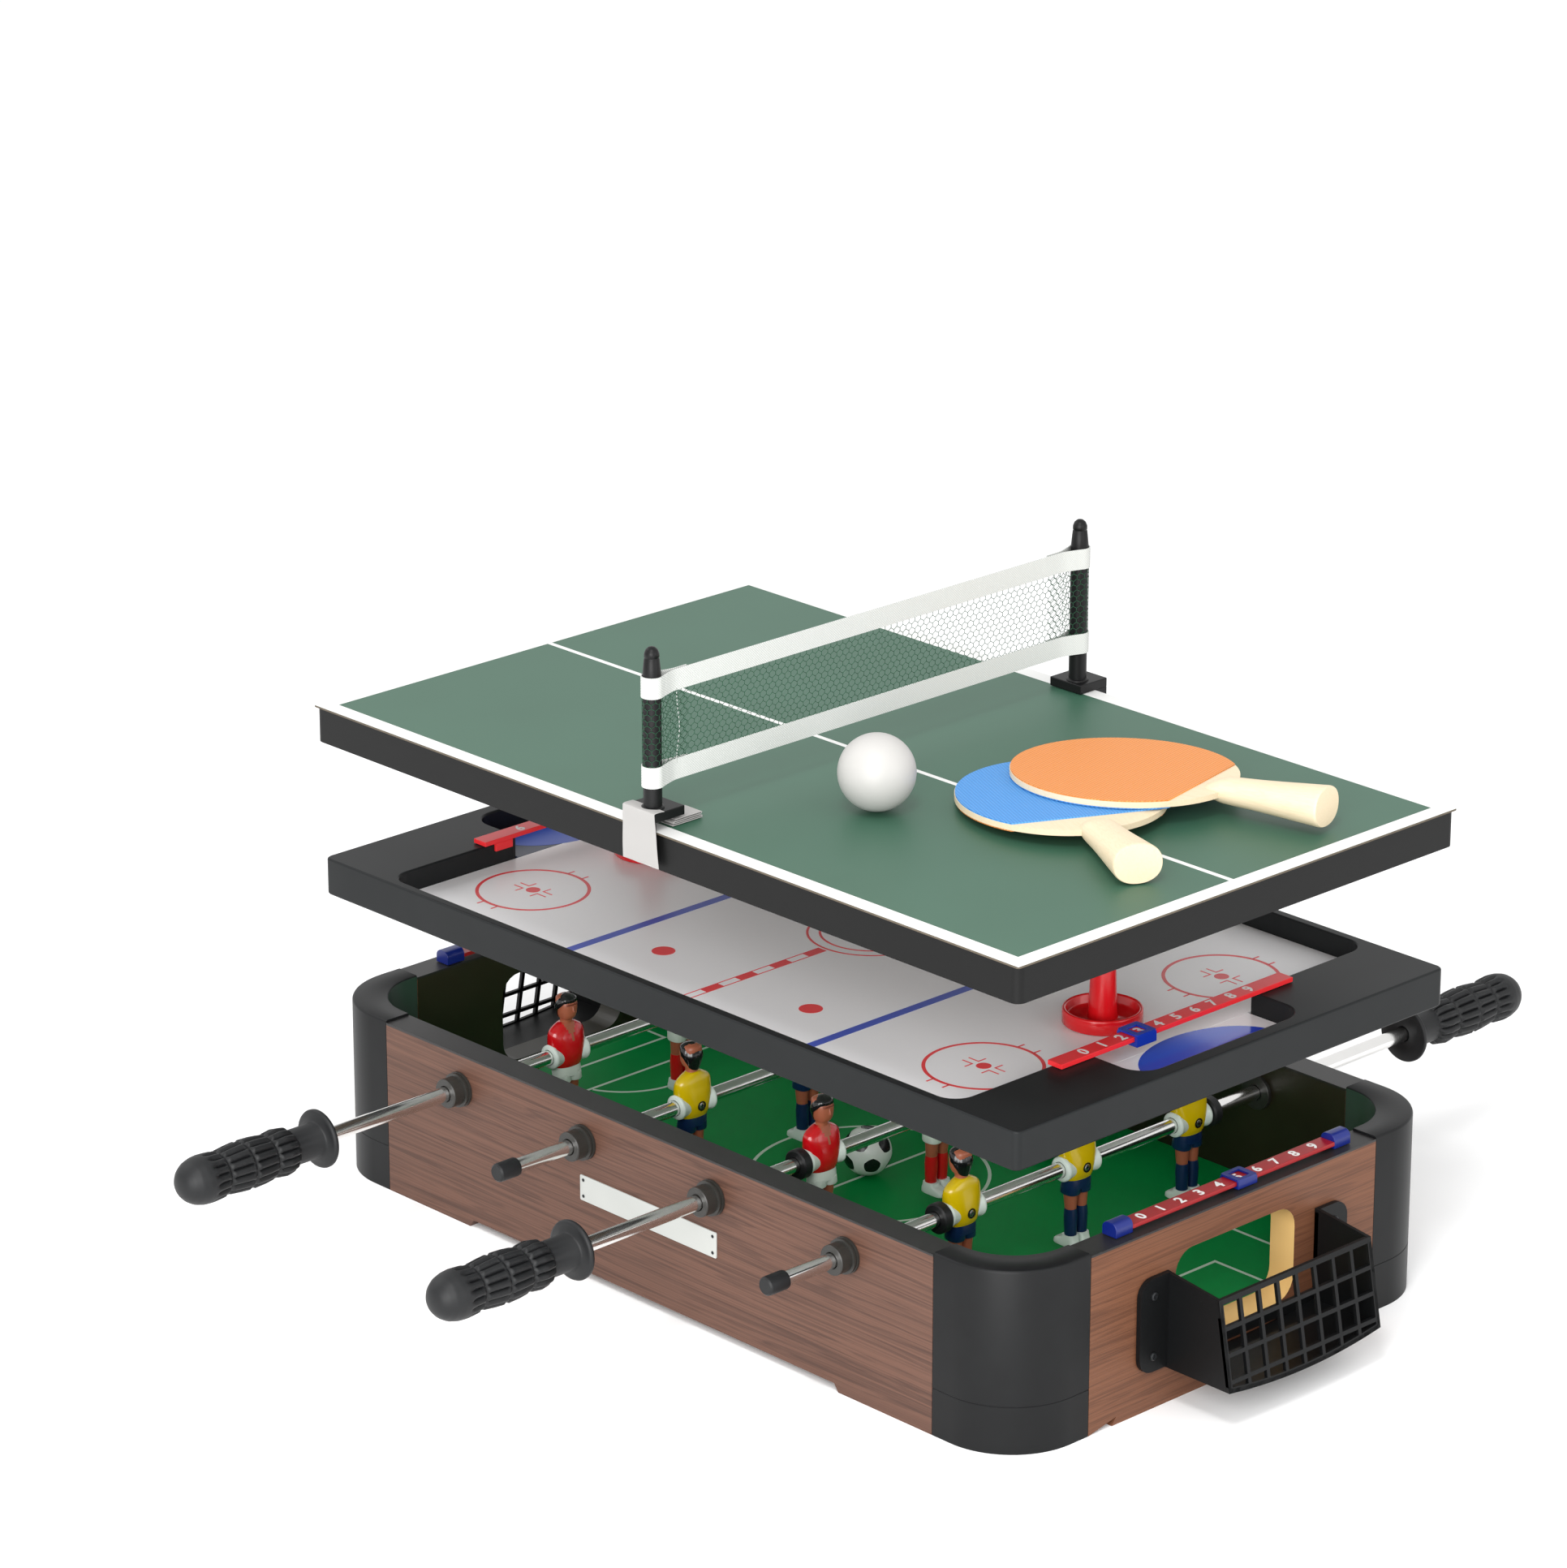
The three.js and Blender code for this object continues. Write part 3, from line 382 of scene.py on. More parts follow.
def smoothed(stations: object, steps: int) -> Array:
    """Return rows of numbers with an even curve drawn through them.

    Args:
        stations: Rows of numbers.
        steps: How many rows the result has between each pair.

    Returns:
        The finer rows, which pass through the given ones.
    """
    knots = np.asarray(stations, float)
    padded = np.vstack([2 * knots[0] - knots[1], knots, 2 * knots[-1] - knots[-2]])
    where = np.linspace(0, len(knots) - 1, (len(knots) - 1) * steps + 1)
    start = np.minimum(where.astype(int), len(knots) - 2)
    part = (where - start)[:, None]
    before, first, last, after = (padded[start + shift] for shift in range(4))
    return 0.5 * (2 * first + (last - before) * part + (2 * before - 5 * first + 4 * last - after) * part ** 2
                  + (3 * first - before - 3 * last + after) * part ** 3)


def letter(text: str, height: float, weight: float = 0.0) -> Surface:
    """Return a printed character, middle at the origin, upright along +Y.

    Args:
        text: The character.
        height: Its height.
        weight: How much its strokes are thickened.

    Returns:
        The character as a thin solid that stands on z = 0.
    """
    curve = bpy.data.curves.new("letter", "FONT")
    curve.body, curve.size, curve.resolution_u = text, height / 0.7, 4
    curve.extrude, curve.offset = FLAT / 2, weight
    source = bpy.data.objects.new("letter", curve)
    mesh = bpy.data.meshes.new_from_object(source)
    points = np.empty(len(mesh.vertices) * 3)
    mesh.vertices.foreach_get("co", points)
    points = points.reshape(-1, 3)
    points -= (points.min(0) + points.max(0)) / 2 - (0, 0, FLAT / 2)
    sizes = np.empty(len(mesh.polygons), int)
    mesh.polygons.foreach_get("loop_total", sizes)
    loops = np.empty(len(mesh.loops), int)
    mesh.loops.foreach_get("vertex_index", loops)
    starts = np.cumsum(sizes) - sizes
    counts = np.unique(sizes)
    faces = tuple(loops[starts[sizes == count][:, None] + np.arange(count)] for count in counts)
    bpy.data.objects.remove(source)
    bpy.data.curves.remove(curve)
    bpy.data.meshes.remove(mesh)
    return Surface(points, faces, tuple(np.zeros(len(face), int) for face in faces))


# Finishes -----------------------------------------------------------------------------------------------------------


class Pattern(Enum):
    """What the surface of a finish carries."""

    EVEN = "even"
    SPECKLED = "speckled"
    GRAIN_X = "grain along X"
    GRAIN_Y = "grain along Y"
    GRAIN_TURNED = "grain along a bat"
    DOTTED = "rows of dots"
    WOVEN = "woven"
    BANDED = "soft bands"


@dataclass(frozen=True)
class Finish:
    """One finish of the real object.

    Attributes:
        name: The real material.
        colour: Its main colour, as an sRGB hex code.
        second: The colour that its pattern brings in.
        roughness: 0 for a mirror, 1 for chalk.
        pattern: What its surface carries.
        size: How large one feature of the pattern is.
        depth: How deep the pattern is pressed into the surface.
        metallic: 1 for bare metal.
        coat: How much clear lacquer lies over it.
        angle: How the pattern is turned about Z, in degrees.
        gloss: How strongly it mirrors, 0.5 for a common plastic.
    """

    name: str
    colour: str
    second: str
    roughness: float
    pattern: Pattern = Pattern.SPECKLED
    size: float = 0.6
    depth: float = 0.01
    metallic: float = 0.0
    coat: float = 0.0
    angle: float = 0.0
    gloss: float = 0.5


# Walnut-print laminate on board: brown with darker long figure, a dull sheen.
LAMINATE_FRONT = Finish("walnut laminate", "#634538", "#483128", 0.5, Pattern.GRAIN_X, 7.0, 0.01, gloss=0.3)
LAMINATE_END = Finish("walnut laminate across", "#704832", "#563524", 0.5, Pattern.GRAIN_Y, 6.0, 0.01, gloss=0.3)
# Sawn fibreboard in the cut of the goal mouth: cream and matte.
FIBREBOARD = Finish("bare fibreboard", "#dcb878", "#c79d5c", 0.85, Pattern.SPECKLED, 0.8, 0.03)
# Olive-black and dull. On the inner faces of the walls it is painted shade: the walnut laminate darkened for the shade
# under the tray. On the cut of the left goal mouth it is that cut's own dark colour.
INNER_SHADE_AND_DARK_CUT = Finish("olive-black inner shade and dark cut", "#24200f", "#1b180c", 0.4)
# Extruded plastic edging on the walls: black with a soft sheen.
EDGING = Finish("black edging strip", "#211f1f", "#191818", 0.45)
# Injection-moulded ABS of casings and baskets: charcoal with a fine satin grain.
CASING = Finish("charcoal ABS", "#161718", "#121213", 0.42, Pattern.SPECKLED, 0.35, 0.006, gloss=0.2)
BASKET = Finish("black ABS", "#0e0f10", "#0b0c0d", 0.45, Pattern.SPECKLED, 0.35, 0.006, gloss=0.2)
# Moulded liner inside the corners: a green so dark that it reads as black in the shade.
LINER = Finish("dark green liner", "#04301c", "#032616", 0.45)
# Printed hardboard of the pitch: a strong even green, hardly shiny, with lines that let a little green through.
PITCH = Finish("printed green hardboard", "#008c42", "#00823d", 0.5, Pattern.SPECKLED, 1.2, 0.003, gloss=0.1)
PITCH_LINE = Finish("white print on green", "#c3d6c4", "#b5cab7", 0.5, Pattern.EVEN)
# Plated tube of the rods: a clear mirror, a little softened by handling.
CHROME = Finish("chromed steel", "#efeeec", "#e4e3e1", 0.16, Pattern.SPECKLED, 0.5, 0.001, metallic=1.0)
# Zinc-plated screws: grey metal with a soft shine.
STEEL = Finish("zinc-plated screw", "#b9bab8", "#9b9c9a", 0.3, Pattern.EVEN, metallic=1.0)
# Moulded rubber of grips, caps and bumpers: black and dull, with a fine grain.
RUBBER = Finish("black rubber", "#17181a", "#101112", 0.5, Pattern.SPECKLED, 0.4, 0.01, gloss=0.35)
# Moulded nylon bushes: black with a brown cast.
BUSH = Finish("black nylon", "#2b2a27", "#23221f", 0.4)
# Gloss paint of the figures' shirts: bright, with sharp highlights.
RED_SHIRT = Finish("red gloss paint", "#b80c14", "#ab0a11", 0.2, Pattern.EVEN, coat=0.4)
YELLOW_SHIRT = Finish("yellow gloss paint", "#c4a800", "#b99e00", 0.25, Pattern.EVEN, coat=0.3)
# Satin paint of the shorts: a lower shine than the shirts'.
PALE_SHORTS = Finish("off-white paint", "#c9d3c9", "#bcc6bd", 0.35, Pattern.EVEN)
# The same navy on the left goal pocket's floor is painted shade.
NAVY_AND_POCKET_SHADE = Finish("navy paint and pocket shade", "#0b2145", "#091b3a", 0.3, Pattern.EVEN)
# The figures' skin, hair, boots and brows: satin brown and milky plastic, and black gloss for the hair.
SKIN = Finish("skin-tone plastic", "#96543b", "#8b4c35", 0.4, Pattern.EVEN)
HAIR = Finish("black gloss paint", "#0d0e0f", "#08090a", 0.22, Pattern.EVEN, coat=0.3)
BOOT = Finish("milky white plastic", "#cfdad2", "#c2cec6", 0.35, Pattern.EVEN)
BROW = Finish("brown brow paint", "#6e3422", "#5e2b1b", 0.5, Pattern.EVEN)
# Moulded plastic ball: glossy white with glossy black print.
FOOTBALL_WHITE = Finish("white gloss plastic", "#e6ebe6", "#dbe0db", 0.25, Pattern.EVEN)
FOOTBALL_BLACK = Finish("black gloss print", "#17191a", "#101213", 0.25, Pattern.EVEN)
# Moulded ABS of the base's counters: deep colours with a satin shine, and flat white digits.
COUNTER_BLUE = Finish("blue ABS", "#091e70", "#081a62", 0.3)
COUNTER_RED = Finish("red ABS", "#96151a", "#8a1217", 0.35)
DIGIT = Finish("white print", "#dcdcda", "#d2d2d0", 0.5, Pattern.EVEN)
# Plain plastic plate on the front wall: pale grey-white, held by dark screws.
PLATE = Finish("white plastic plate", "#b6b8b4", "#abada9", 0.4)
SCREW = Finish("dark screw", "#26282a", "#1e2021", 0.4, Pattern.EVEN, metallic=0.6)
# The tray's moulded frame: charcoal, a shade lighter than the casings.
TRAY = Finish("charcoal tray ABS", "#191b1c", "#151718", 0.45, Pattern.SPECKLED, 0.4, 0.005, gloss=0.2)
# Printed rink board: smooth white with a soft shine, and clear red and blue print.
RINK = Finish("white printed rink board", "#f2f1f2", "#eceaec", 0.3, Pattern.EVEN)
RINK_RED = Finish("red print", "#e8383c", "#dd3337", 0.35, Pattern.EVEN)
RINK_BLUE = Finish("blue print", "#3f55ba", "#394eae", 0.3, Pattern.EVEN)
# Glossy prints at the goals: one blue with soft bands of violet painted in as reflections, the other an even blue.
CREASE = Finish("blue print with painted reflections", "#2c55d2", "#4a2cb0", 0.15, Pattern.BANDED, 26.0, 0.0, coat=0.3)
BRIGHT = Finish("bright blue print", "#0a46b8", "#0940aa", 0.3, Pattern.EVEN)
# Moulded ABS of the tray's counters: brighter than the base's.
RINK_COUNTER = Finish("bright red ABS", "#e42a30", "#da262c", 0.35)
RINK_SLIDER = Finish("deep blue ABS", "#0d2f9c", "#0b2a8f", 0.3)
# Polished moulding of the pushers: red with sharp highlights.
PUSHER = Finish("glossy red plastic", "#d01018", "#c40d14", 0.2, Pattern.EVEN, coat=0.2)
# The playing board: green lacquer with a satin sheen.
TOP_GREEN = Finish("green satin lacquer", "#345c49", "#305643", 0.45, Pattern.SPECKLED, 1.5, 0.004)
TOP_WHITE = Finish("white lacquer line", "#dededc", "#d6d6d4", 0.4, Pattern.EVEN)
# Sawn edge of the board under its lacquer: a thin brown line.
TOP_EDGE = Finish("brown board edge", "#5d5345", "#4f463a", 0.7)
# Film round the skirt: black and satin.
SKIRT = Finish("black satin film", "#0f0f0f", "#0c0c0c", 0.45, Pattern.SPECKLED, 0.5, 0.004, gloss=0.2)
# Moulded nylon of the posts: black, with a broad soft highlight down the stem.
POST = Finish("black nylon post", "#0f0f10", "#0b0b0c", 0.42, gloss=0.25)
# Woven tape: matte white with the weave as a rib of 1.1 mm.
TAPE = Finish("white woven tape", "#cfd0cd", "#b4b7b3", 0.9, Pattern.WOVEN, 1.1, 0.05)
# Knitted thread of the net: dark green and matte.
NET_THREAD = Finish("green polyester thread", "#174a30", "#123d27", 0.8, Pattern.EVEN)
# Cotton strip under the front post: chalky white with a faint weave.
CLOTH = Finish("white cotton strip", "#a8a6a4", "#9e9c9a", 0.9, Pattern.WOVEN, 0.5, 0.02)
# Table tennis ball: white with no pattern and a soft, broad highlight.
BALL = Finish("matte white celluloid", "#b6b4b1", "#b0aeab", 0.45, Pattern.EVEN)
# Sanded beech of blades and grips: pale cream with fine grain along each bat.
BEECH = Finish("bare beech", "#dfceb0", "#d8c5a4", 0.55, Pattern.GRAIN_TURNED, 2.4, 0.01, angle=-27.0)
BEECH_UPPER = replace(BEECH, name="bare beech above", angle=14.3)
# Moulded pimpled rubber, pimples 1.7 mm apart in rows along each bat: saturated and matte.
ORANGE_RUBBER = Finish("orange pimpled rubber", "#e3924a", "#c67633", 0.55, Pattern.DOTTED, 1.7, 0.1, angle=14.3)
BLUE_RUBBER = Finish("blue pimpled rubber", "#4e97d8", "#377cc0", 0.55, Pattern.DOTTED, 1.7, 0.1, angle=-27.0)


def add_node(tree: bpy.types.NodeTree, kind: str, settings: dict[object, object],
             links: dict[object, object] | None = None) -> bpy.types.Node:
    """Add a shader node.

    Args:
        tree: The node tree.
        kind: The node's type name.
        settings: Values by socket or property name, or by a socket's number.
        links: Output sockets that feed the inputs with these names or numbers.

    Returns:
        The node.
    """
    node = tree.nodes.new(kind)
    for name, value in settings.items():
        if isinstance(name, int) or name in node.inputs:
            node.inputs[name].default_value = value
        else:
            setattr(node, name, value)
    for name, output in (links or {}).items():
        tree.links.new(output, node.inputs[name])
    return node


class Paint:
    """Builds the Blender material of a finish, once."""

    made: ClassVar[dict[str, bpy.types.Material]] = {}

    def __init__(self, finish: Finish) -> None:
        """Keep the finish and make its empty material.

        Args:
            finish: The finish.
        """
        self.finish = finish
        self.material = bpy.data.materials.new(finish.name)
        self.material.use_nodes = True
        self.tree = self.material.node_tree
        self.tree.nodes.clear()

    @classmethod
    def of(cls, finish: Finish) -> bpy.types.Material:
        """Return the finish's material.

        Args:
            finish: The finish.

        Returns:
            The material.
        """
        if finish.name not in cls.made:
            cls.made[finish.name] = cls(finish).build()
        return cls.made[finish.name]

    def coordinates(self, x: float, y: float, z: float) -> bpy.types.NodeSocket:
        """Return object coordinates in features of the given sizes, turned with the finish.

        Args:
            x: A feature's size along X.
            y: Its size along Y.
            z: Its size along Z, or 0 to leave that axis out.

        Returns:
            The socket with the coordinates.
        """
        source = add_node(self.tree, "ShaderNodeTexCoord", {})
        turned = add_node(self.tree, "ShaderNodeVectorRotate",
                          {"rotation_type": "Z_AXIS", "Angle": -math.radians(self.finish.angle)},
                          {"Vector": source.outputs["Object"]})
        scale = tuple(1 / (MM * size) if size else 0.0 for size in (x, y, z))
        return add_node(self.tree, "ShaderNodeMapping", {"Scale": scale},
                        {"Vector": turned.outputs["Vector"]}).outputs["Vector"]

    def noise(self, sizes: tuple[float, float, float], detail: float, distortion: float = 0.0) -> bpy.types.NodeSocket:
        """Return noise with features of the given sizes.

        Args:
            sizes: A feature's size along X, Y and Z.
            detail: The count of finer layers.
            distortion: How far the noise is warped.

        Returns:
            The socket with the noise.
        """
        node = add_node(self.tree, "ShaderNodeTexNoise", {"Scale": 1.0, "Detail": detail, "Distortion": distortion},
                        {"Vector": self.coordinates(*sizes)})
        return node.outputs[0]

    def spread(self, value: bpy.types.NodeSocket, low: float, high: float) -> bpy.types.NodeSocket:
        """Return a value stretched from a range to 0..1."""
        return add_node(self.tree, "ShaderNodeMapRange", {1: low, 2: high}, {0: value}).outputs[0]

    def blended(self, share: bpy.types.NodeSocket, first: object, second: object) -> bpy.types.NodeSocket:
        """Return two colours, or colour sockets, mixed by a share.

        Args:
            share: The share of the second one.
            first: The first colour.
            second: The second colour.

        Returns:
            The socket with the mixed colour.
        """
        settings, links = {"data_type": "RGBA"}, {0: share}
        for number, colour in ((6, first), (7, second)):
            (settings if isinstance(colour, tuple) else links)[number] = colour
        return add_node(self.tree, "ShaderNodeMix", settings, links).outputs[2]

    def figure(self) -> tuple[bpy.types.NodeSocket, bpy.types.NodeSocket] | None:
        """Return the pattern's share of the second colour and its height, or None for an even finish.

        Returns:
            The sockets of the share and of the height, or None.
        """
        kind, size = self.finish.pattern, self.finish.size
        if kind is Pattern.SPECKLED:
            fine = self.noise((size, size, size), 2.0)
            return self.noise((40 * size, 40 * size, 40 * size), 2.0), fine
        if kind in (Pattern.GRAIN_X, Pattern.GRAIN_Y, Pattern.GRAIN_TURNED):
            long, fine = (26 * size, 60 * size), (0.12 * size, 0.4)
            sizes = [(long[0], size, size), (long[1], fine[0], fine[0])]
            sizes = [(part[1], part[0], part[2]) for part in sizes] if kind is Pattern.GRAIN_Y else sizes
            rings = add_node(self.tree, "ShaderNodeMath", {"operation": "MULTIPLY", 1: 34.0},
                             {0: self.noise(sizes[0], 3.0, 0.5)}).outputs[0]
            broad = self.spread(add_node(self.tree, "ShaderNodeMath", {"operation": "SINE"}, {0: rings}).outputs[0],
                                0.1, 1.0)
            lines = self.spread(self.noise(sizes[1], 3.0), 0.38, 0.62)
            share = add_node(self.tree, "ShaderNodeMath", {"operation": "MULTIPLY_ADD", 1: 0.5}, {0: broad})
            both = add_node(self.tree, "ShaderNodeMath", {"operation": "MULTIPLY", 1: 0.5}, {0: lines})
            self.tree.links.new(both.outputs[0], share.inputs[2])
            return share.outputs[0], lines
        if kind is Pattern.DOTTED:
            dots = add_node(self.tree, "ShaderNodeTexVoronoi", {"voronoi_dimensions": "2D", "Scale": 1.0,
                                                                "Randomness": 0.0},
                            {"Vector": self.coordinates(size, size, 0.0)}).outputs["Distance"]
            return self.spread(dots, 0.2, 0.5), self.spread(dots, 0.5, 0.25)
        if kind is Pattern.WOVEN:
            waves = [add_node(self.tree, "ShaderNodeTexWave", {"Scale": 0.5, "wave_type": "BANDS",
                                                               "bands_direction": "DIAGONAL"},
                              {"Vector": self.coordinates(size, size, sign * size)}).outputs["Fac"]
                     for sign in (1, -1)]
            woven = add_node(self.tree, "ShaderNodeMath", {"operation": "MULTIPLY"}, dict(enumerate(waves))).outputs[0]
            return self.spread(woven, 0.5, 0.0), woven
        # Soft bands of the second colour: painted reflections over the print.
        if kind is Pattern.BANDED:
            bands = self.noise((size, 40 * size, size), 2.0, 0.4)
            return self.spread(bands, 0.4, 0.62), bands
        return None

    def build(self) -> bpy.types.Material:
        """Build the nodes and return the material.

        Returns:
            The material.
        """
        finish, tree = self.finish, self.tree
        settings = {"Base Color": linear(finish.colour), "Roughness": finish.roughness,
                    "Metallic": finish.metallic, "Coat Weight": finish.coat, "Coat Roughness": 0.08,
                    "Specular IOR Level": finish.gloss}
        links = {}
        found = self.figure()
        if found:
            share, height = found
            links["Base Color"] = self.blended(share, linear(finish.colour), linear(finish.second))
            if finish.depth:
                links["Normal"] = add_node(tree, "ShaderNodeBump", {"Strength": 1.0, "Distance": finish.depth * MM},
                                           {"Height": height}).outputs["Normal"]
        shader = add_node(tree, "ShaderNodeBsdfPrincipled", settings, links)
        add_node(tree, "ShaderNodeOutputMaterial", {}, {"Surface": shader.outputs[0]})
        self.material.diffuse_color = linear(finish.colour)
        return self.material


@dataclass(frozen=True)
class Edge:
    """How a piece's edges are softened.

    Attributes:
        bevel: The bevel's width, or 0 for none.
        segments: How many faces the bevel has.
        sharp: From what angle an edge stays sharp, in degrees.
    """

    bevel: float = 0.0
    segments: int = 2
    sharp: float = 35.0


def make_piece(name: str, surface: Surface, finishes: tuple[Finish, ...], body: str,
               stands_for: tuple[str, ...] = (), edge: Edge = Edge()) -> bpy.types.Object:
    """Make one piece of the object and let it ride on its body.

    Args:
        name: The piece's name.
        surface: Its shape.
        finishes: Its finishes, in the order of the surface's finish numbers.
        body: The body that it moves with.
        stands_for: The solid parts that it takes the place of.
        edge: How its edges are softened.

    Returns:
        The piece.
    """
    mesh = bpy.data.meshes.new(name)
    sizes = np.concatenate([np.full(len(face), face.shape[1]) for face in surface.faces])
    loops = np.concatenate([face.ravel() for face in surface.faces])
    mesh.vertices.add(len(surface.points))
    mesh.vertices.foreach_set("co", (surface.points * MM).ravel())
    mesh.loops.add(len(loops))
    mesh.loops.foreach_set("vertex_index", loops.astype(np.int32))
    mesh.polygons.add(len(sizes))
    mesh.polygons.foreach_set("loop_start", (np.cumsum(sizes) - sizes).astype(np.int32))
    mesh.polygons.foreach_set("material_index", np.concatenate(surface.finish).astype(np.int32))
    mesh.update(calc_edges=True)
    form = bmesh.new()
    form.from_mesh(mesh)
    bmesh.ops.remove_doubles(form, verts=form.verts, dist=1e-6)
    bmesh.ops.recalc_face_normals(form, faces=form.faces)
    form.to_mesh(mesh)
    form.free()
    mesh.shade_smooth()
    mesh.set_sharp_from_angle(angle=math.radians(edge.sharp))
    for finish in finishes:
        mesh.materials.append(Paint.of(finish))
    piece = bpy.data.objects.new(name, mesh)
    bpy.context.scene.collection.objects.link(piece)
    if edge.bevel:
        bevel = piece.modifiers.new("soft edge", "BEVEL")
        bevel.width, bevel.segments = edge.bevel * MM, edge.segments
        bevel.limit_method, bevel.angle_limit = "ANGLE", math.radians(edge.sharp)
        bevel.harden_normals = True
    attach(piece, body)
    LOG.info("%s rides on %s", name, body)
    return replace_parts(piece, *stands_for)


# The football base --------------------------------------------------------------------------------------------------


@dataclass(frozen=True)
class Basket:
    """A goal basket: a trough with a leaning lattice face and two screw flanges, at the right goal."""

    wall_face: float = 260.3
    middle: float = 4.5
    half: float = 56.0
    plate: float = 2.0
    top: float = 68.0
    top_at_wall: float = 72.5
    sill: float = 28.0
    side_bottom: float = 21.0
    low: float = 17.0
    depth_top: float = 35.7
    depth_bottom: float = 44.3
    bar: float = 2.2
    rim: float = 2.8
    columns: int = 8
    rows: int = 3
    low_row: float = 6.0
    flange: tuple[float, float, float] = (20.0, 22.0, 72.5)
    flange_radius: float = 9.0
    flange_thickness: float = 2.6
    screw_inset: tuple[float, float] = (9.5, 8.5)

    def bow(self, across: Array, half: float) -> Array:
        """Return how far the lower edge hangs below the side plates' corners."""
        return (self.side_bottom - self.low) * (1 - (across / half) ** 2)

    def lean(self, height: Array) -> Array:
        """Return how far from the middle of the table the face stands at a height."""
        slope = (self.depth_bottom - self.depth_top) / (self.top - self.side_bottom)
        return self.wall_face + self.depth_top + (self.top - height) * slope

    def trough(self) -> Surface:
        """Return the side plates and the bowed floor as one thin channel.

        Returns:
            The surface.
        """
        paths = []
        for inset in (0.0, self.plate):
            half = self.half - inset
            across = np.linspace(-half, half, 33)
            floor = self.side_bottom + inset - self.bow(across, half)
            side = np.linspace(self.top, self.side_bottom + inset + 1, 6)
            left = np.stack([np.full(6, -half), side], 1)
            paths.append(np.vstack([left, np.stack([across, floor], 1), left[::-1] * (-1, 1)]))
        outer, inner = paths
        raised = [path + (0, self.top_at_wall - self.top) * (path[:, 1:] == self.top) for path in paths]
        edges = [np.insert(path, 0, at, axis=1) for path, at in (
            (raised[0], self.wall_face), (outer, self.lean(outer[:, 1])),
            (inner, self.lean(inner[:, 1])), (raised[1], self.wall_face))]
        return skin(np.stack(edges, 1), ends=0)

    def lattice(self) -> Surface:
        """Return the face: a grid of bars, with walls round every window.

        Returns:
            The surface.
        """
        window = (2 * self.half - 2 * self.rim - (self.columns - 1) * self.bar) / self.columns
        across = -self.half + np.cumsum([0, self.rim, *([window, self.bar] * self.columns)])
        across[-1] = self.half
        row = (self.top - self.rim - self.side_bottom - self.low_row + self.bar) / self.rows
        levels = self.top - np.cumsum([0, self.rim, *([row - self.bar, self.bar] * self.rows)])
        height = np.repeat(levels[:, None], len(across), 1)
        bottom = self.side_bottom - self.bow(across, self.half)
        height = np.vstack([height, np.minimum(height[-1] - 0.01, bottom + self.rim), bottom])
        kept = ~((np.arange(height.shape[0] - 1) % 2 == 1)[:, None] & (np.arange(len(across) - 1) % 2 == 1))
        points = np.stack([self.lean(height), np.broadcast_to(across, height.shape), height], -1)
        points = np.stack([points, points - (self.plate, 0, 0)])
        number = np.arange(points[..., 0].size).reshape(points.shape[:3])
        cell = np.stack([number[:, :-1, :-1], number[:, :-1, 1:], number[:, 1:, 1:], number[:, 1:, :-1]], -1)
        around = np.pad(kept, 1)
        faces = [cell[:, kept].reshape(-1, 4)]
        for first, second, beside in ((0, 1, around[:-2, 1:-1]), (1, 2, around[1:-1, 2:]),
                                      (2, 3, around[2:, 1:-1]), (3, 0, around[1:-1, :-2])):
            open_side = kept & ~beside
            front, back = cell[0][open_side], cell[1][open_side]
            faces.append(np.stack([front[:, first], front[:, second], back[:, second], back[:, first]], 1))
        faces = np.concatenate(faces)
        return Surface(points.reshape(-1, 3), (faces,), (np.zeros(len(faces), int),))

    def build(self) -> Surface:
        """Return the whole basket with its screws.

        Returns:
            The surface.
        """
        width, low, high = self.flange
        start, end = self.half - self.plate, self.half + width
        outline = rounded([(start, low), (end, low), (end, high), (start, high)],
                          (0.01, self.flange_radius, self.flange_radius, 2.0))
        face = self.wall_face + self.flange_thickness
        flange = prism(outline, self.wall_face, face, axis=0)
        head = [(0, 0), (2.2, 0), (2.2, 0.7), (1.6, 1.2), (1.1, 1.2), (1.0, 0.7), (0, 0.7)]
        screw = lathe(head, 20, axis=0, finish=1)
        upper, lower = self.screw_inset
        across, heights = end - upper, (low + lower, high - upper)
        screws = [screw.moved(face, side * across, height) for side in (-1, 1) for height in heights]
        back = box((self.wall_face, 0.5 - start, self.side_bottom), (self.wall_face + 1.2, start - 0.5, self.sill))
        whole = joined(self.trough(), self.lattice(), back, flange, flange.scaled(y=-1), *screws)
        return whole.moved(y=self.middle)


@dataclass(frozen=True)
class CounterBar:
    """A numbered bar beside a goal, and the sleeve that slides along it.

    Attributes:
        start: Where the digit 0 stands along the bar.
        step: The spacing of the digits.
        height: A digit's height.
    """

    start: float
    step: float
    height: float

    def digits(self, x: float, top: float, turn: float) -> Surface:
        """Return the ten digits on a bar's top face, with their feet towards +X.

        Args:
            x: The row's distance from the bar's middle line.
            top: The height that the digits stand on.
            turn: The turn of the whole row about Z, in degrees.

        Returns:
            The surface.
        """
        marks = [letter(str(number), self.height, 0.25).turned(2, 90).moved(y=self.start + self.step * number)
                 for number in range(10)]
        return joined(*marks).turned(2, turn).moved(x=x, z=top)

    @staticmethod
    def sleeve(width: float, low: float, high: float, bar: tuple[float, float, float]) -> Surface:
        """Return a sliding sleeve round a bar, open at the top over the digit.

        Args:
            width: The sleeve's outer width.
            low: The sleeve's underside.
            high: Its top.
            bar: The bar's half width, underside and top.

        Returns:
            The sleeve, with its middle at the origin in plan.
        """
        half, under, over = bar[0] + GAP, bar[1] - GAP, bar[2] + GAP
        length, window = 7.0, 3.8
        lid = pierced(rounded(rectangle(width / 2, length), 1.2), rectangle(window, window), over, high)
        side = box((half, -length, low), (width / 2, length, over + 0.01))
        floor = box((-half - 0.01, -length, low), (half + 0.01, length, max(under, low + 0.5)))
        return joined(lid, side, side.scaled(x=-1), floor)


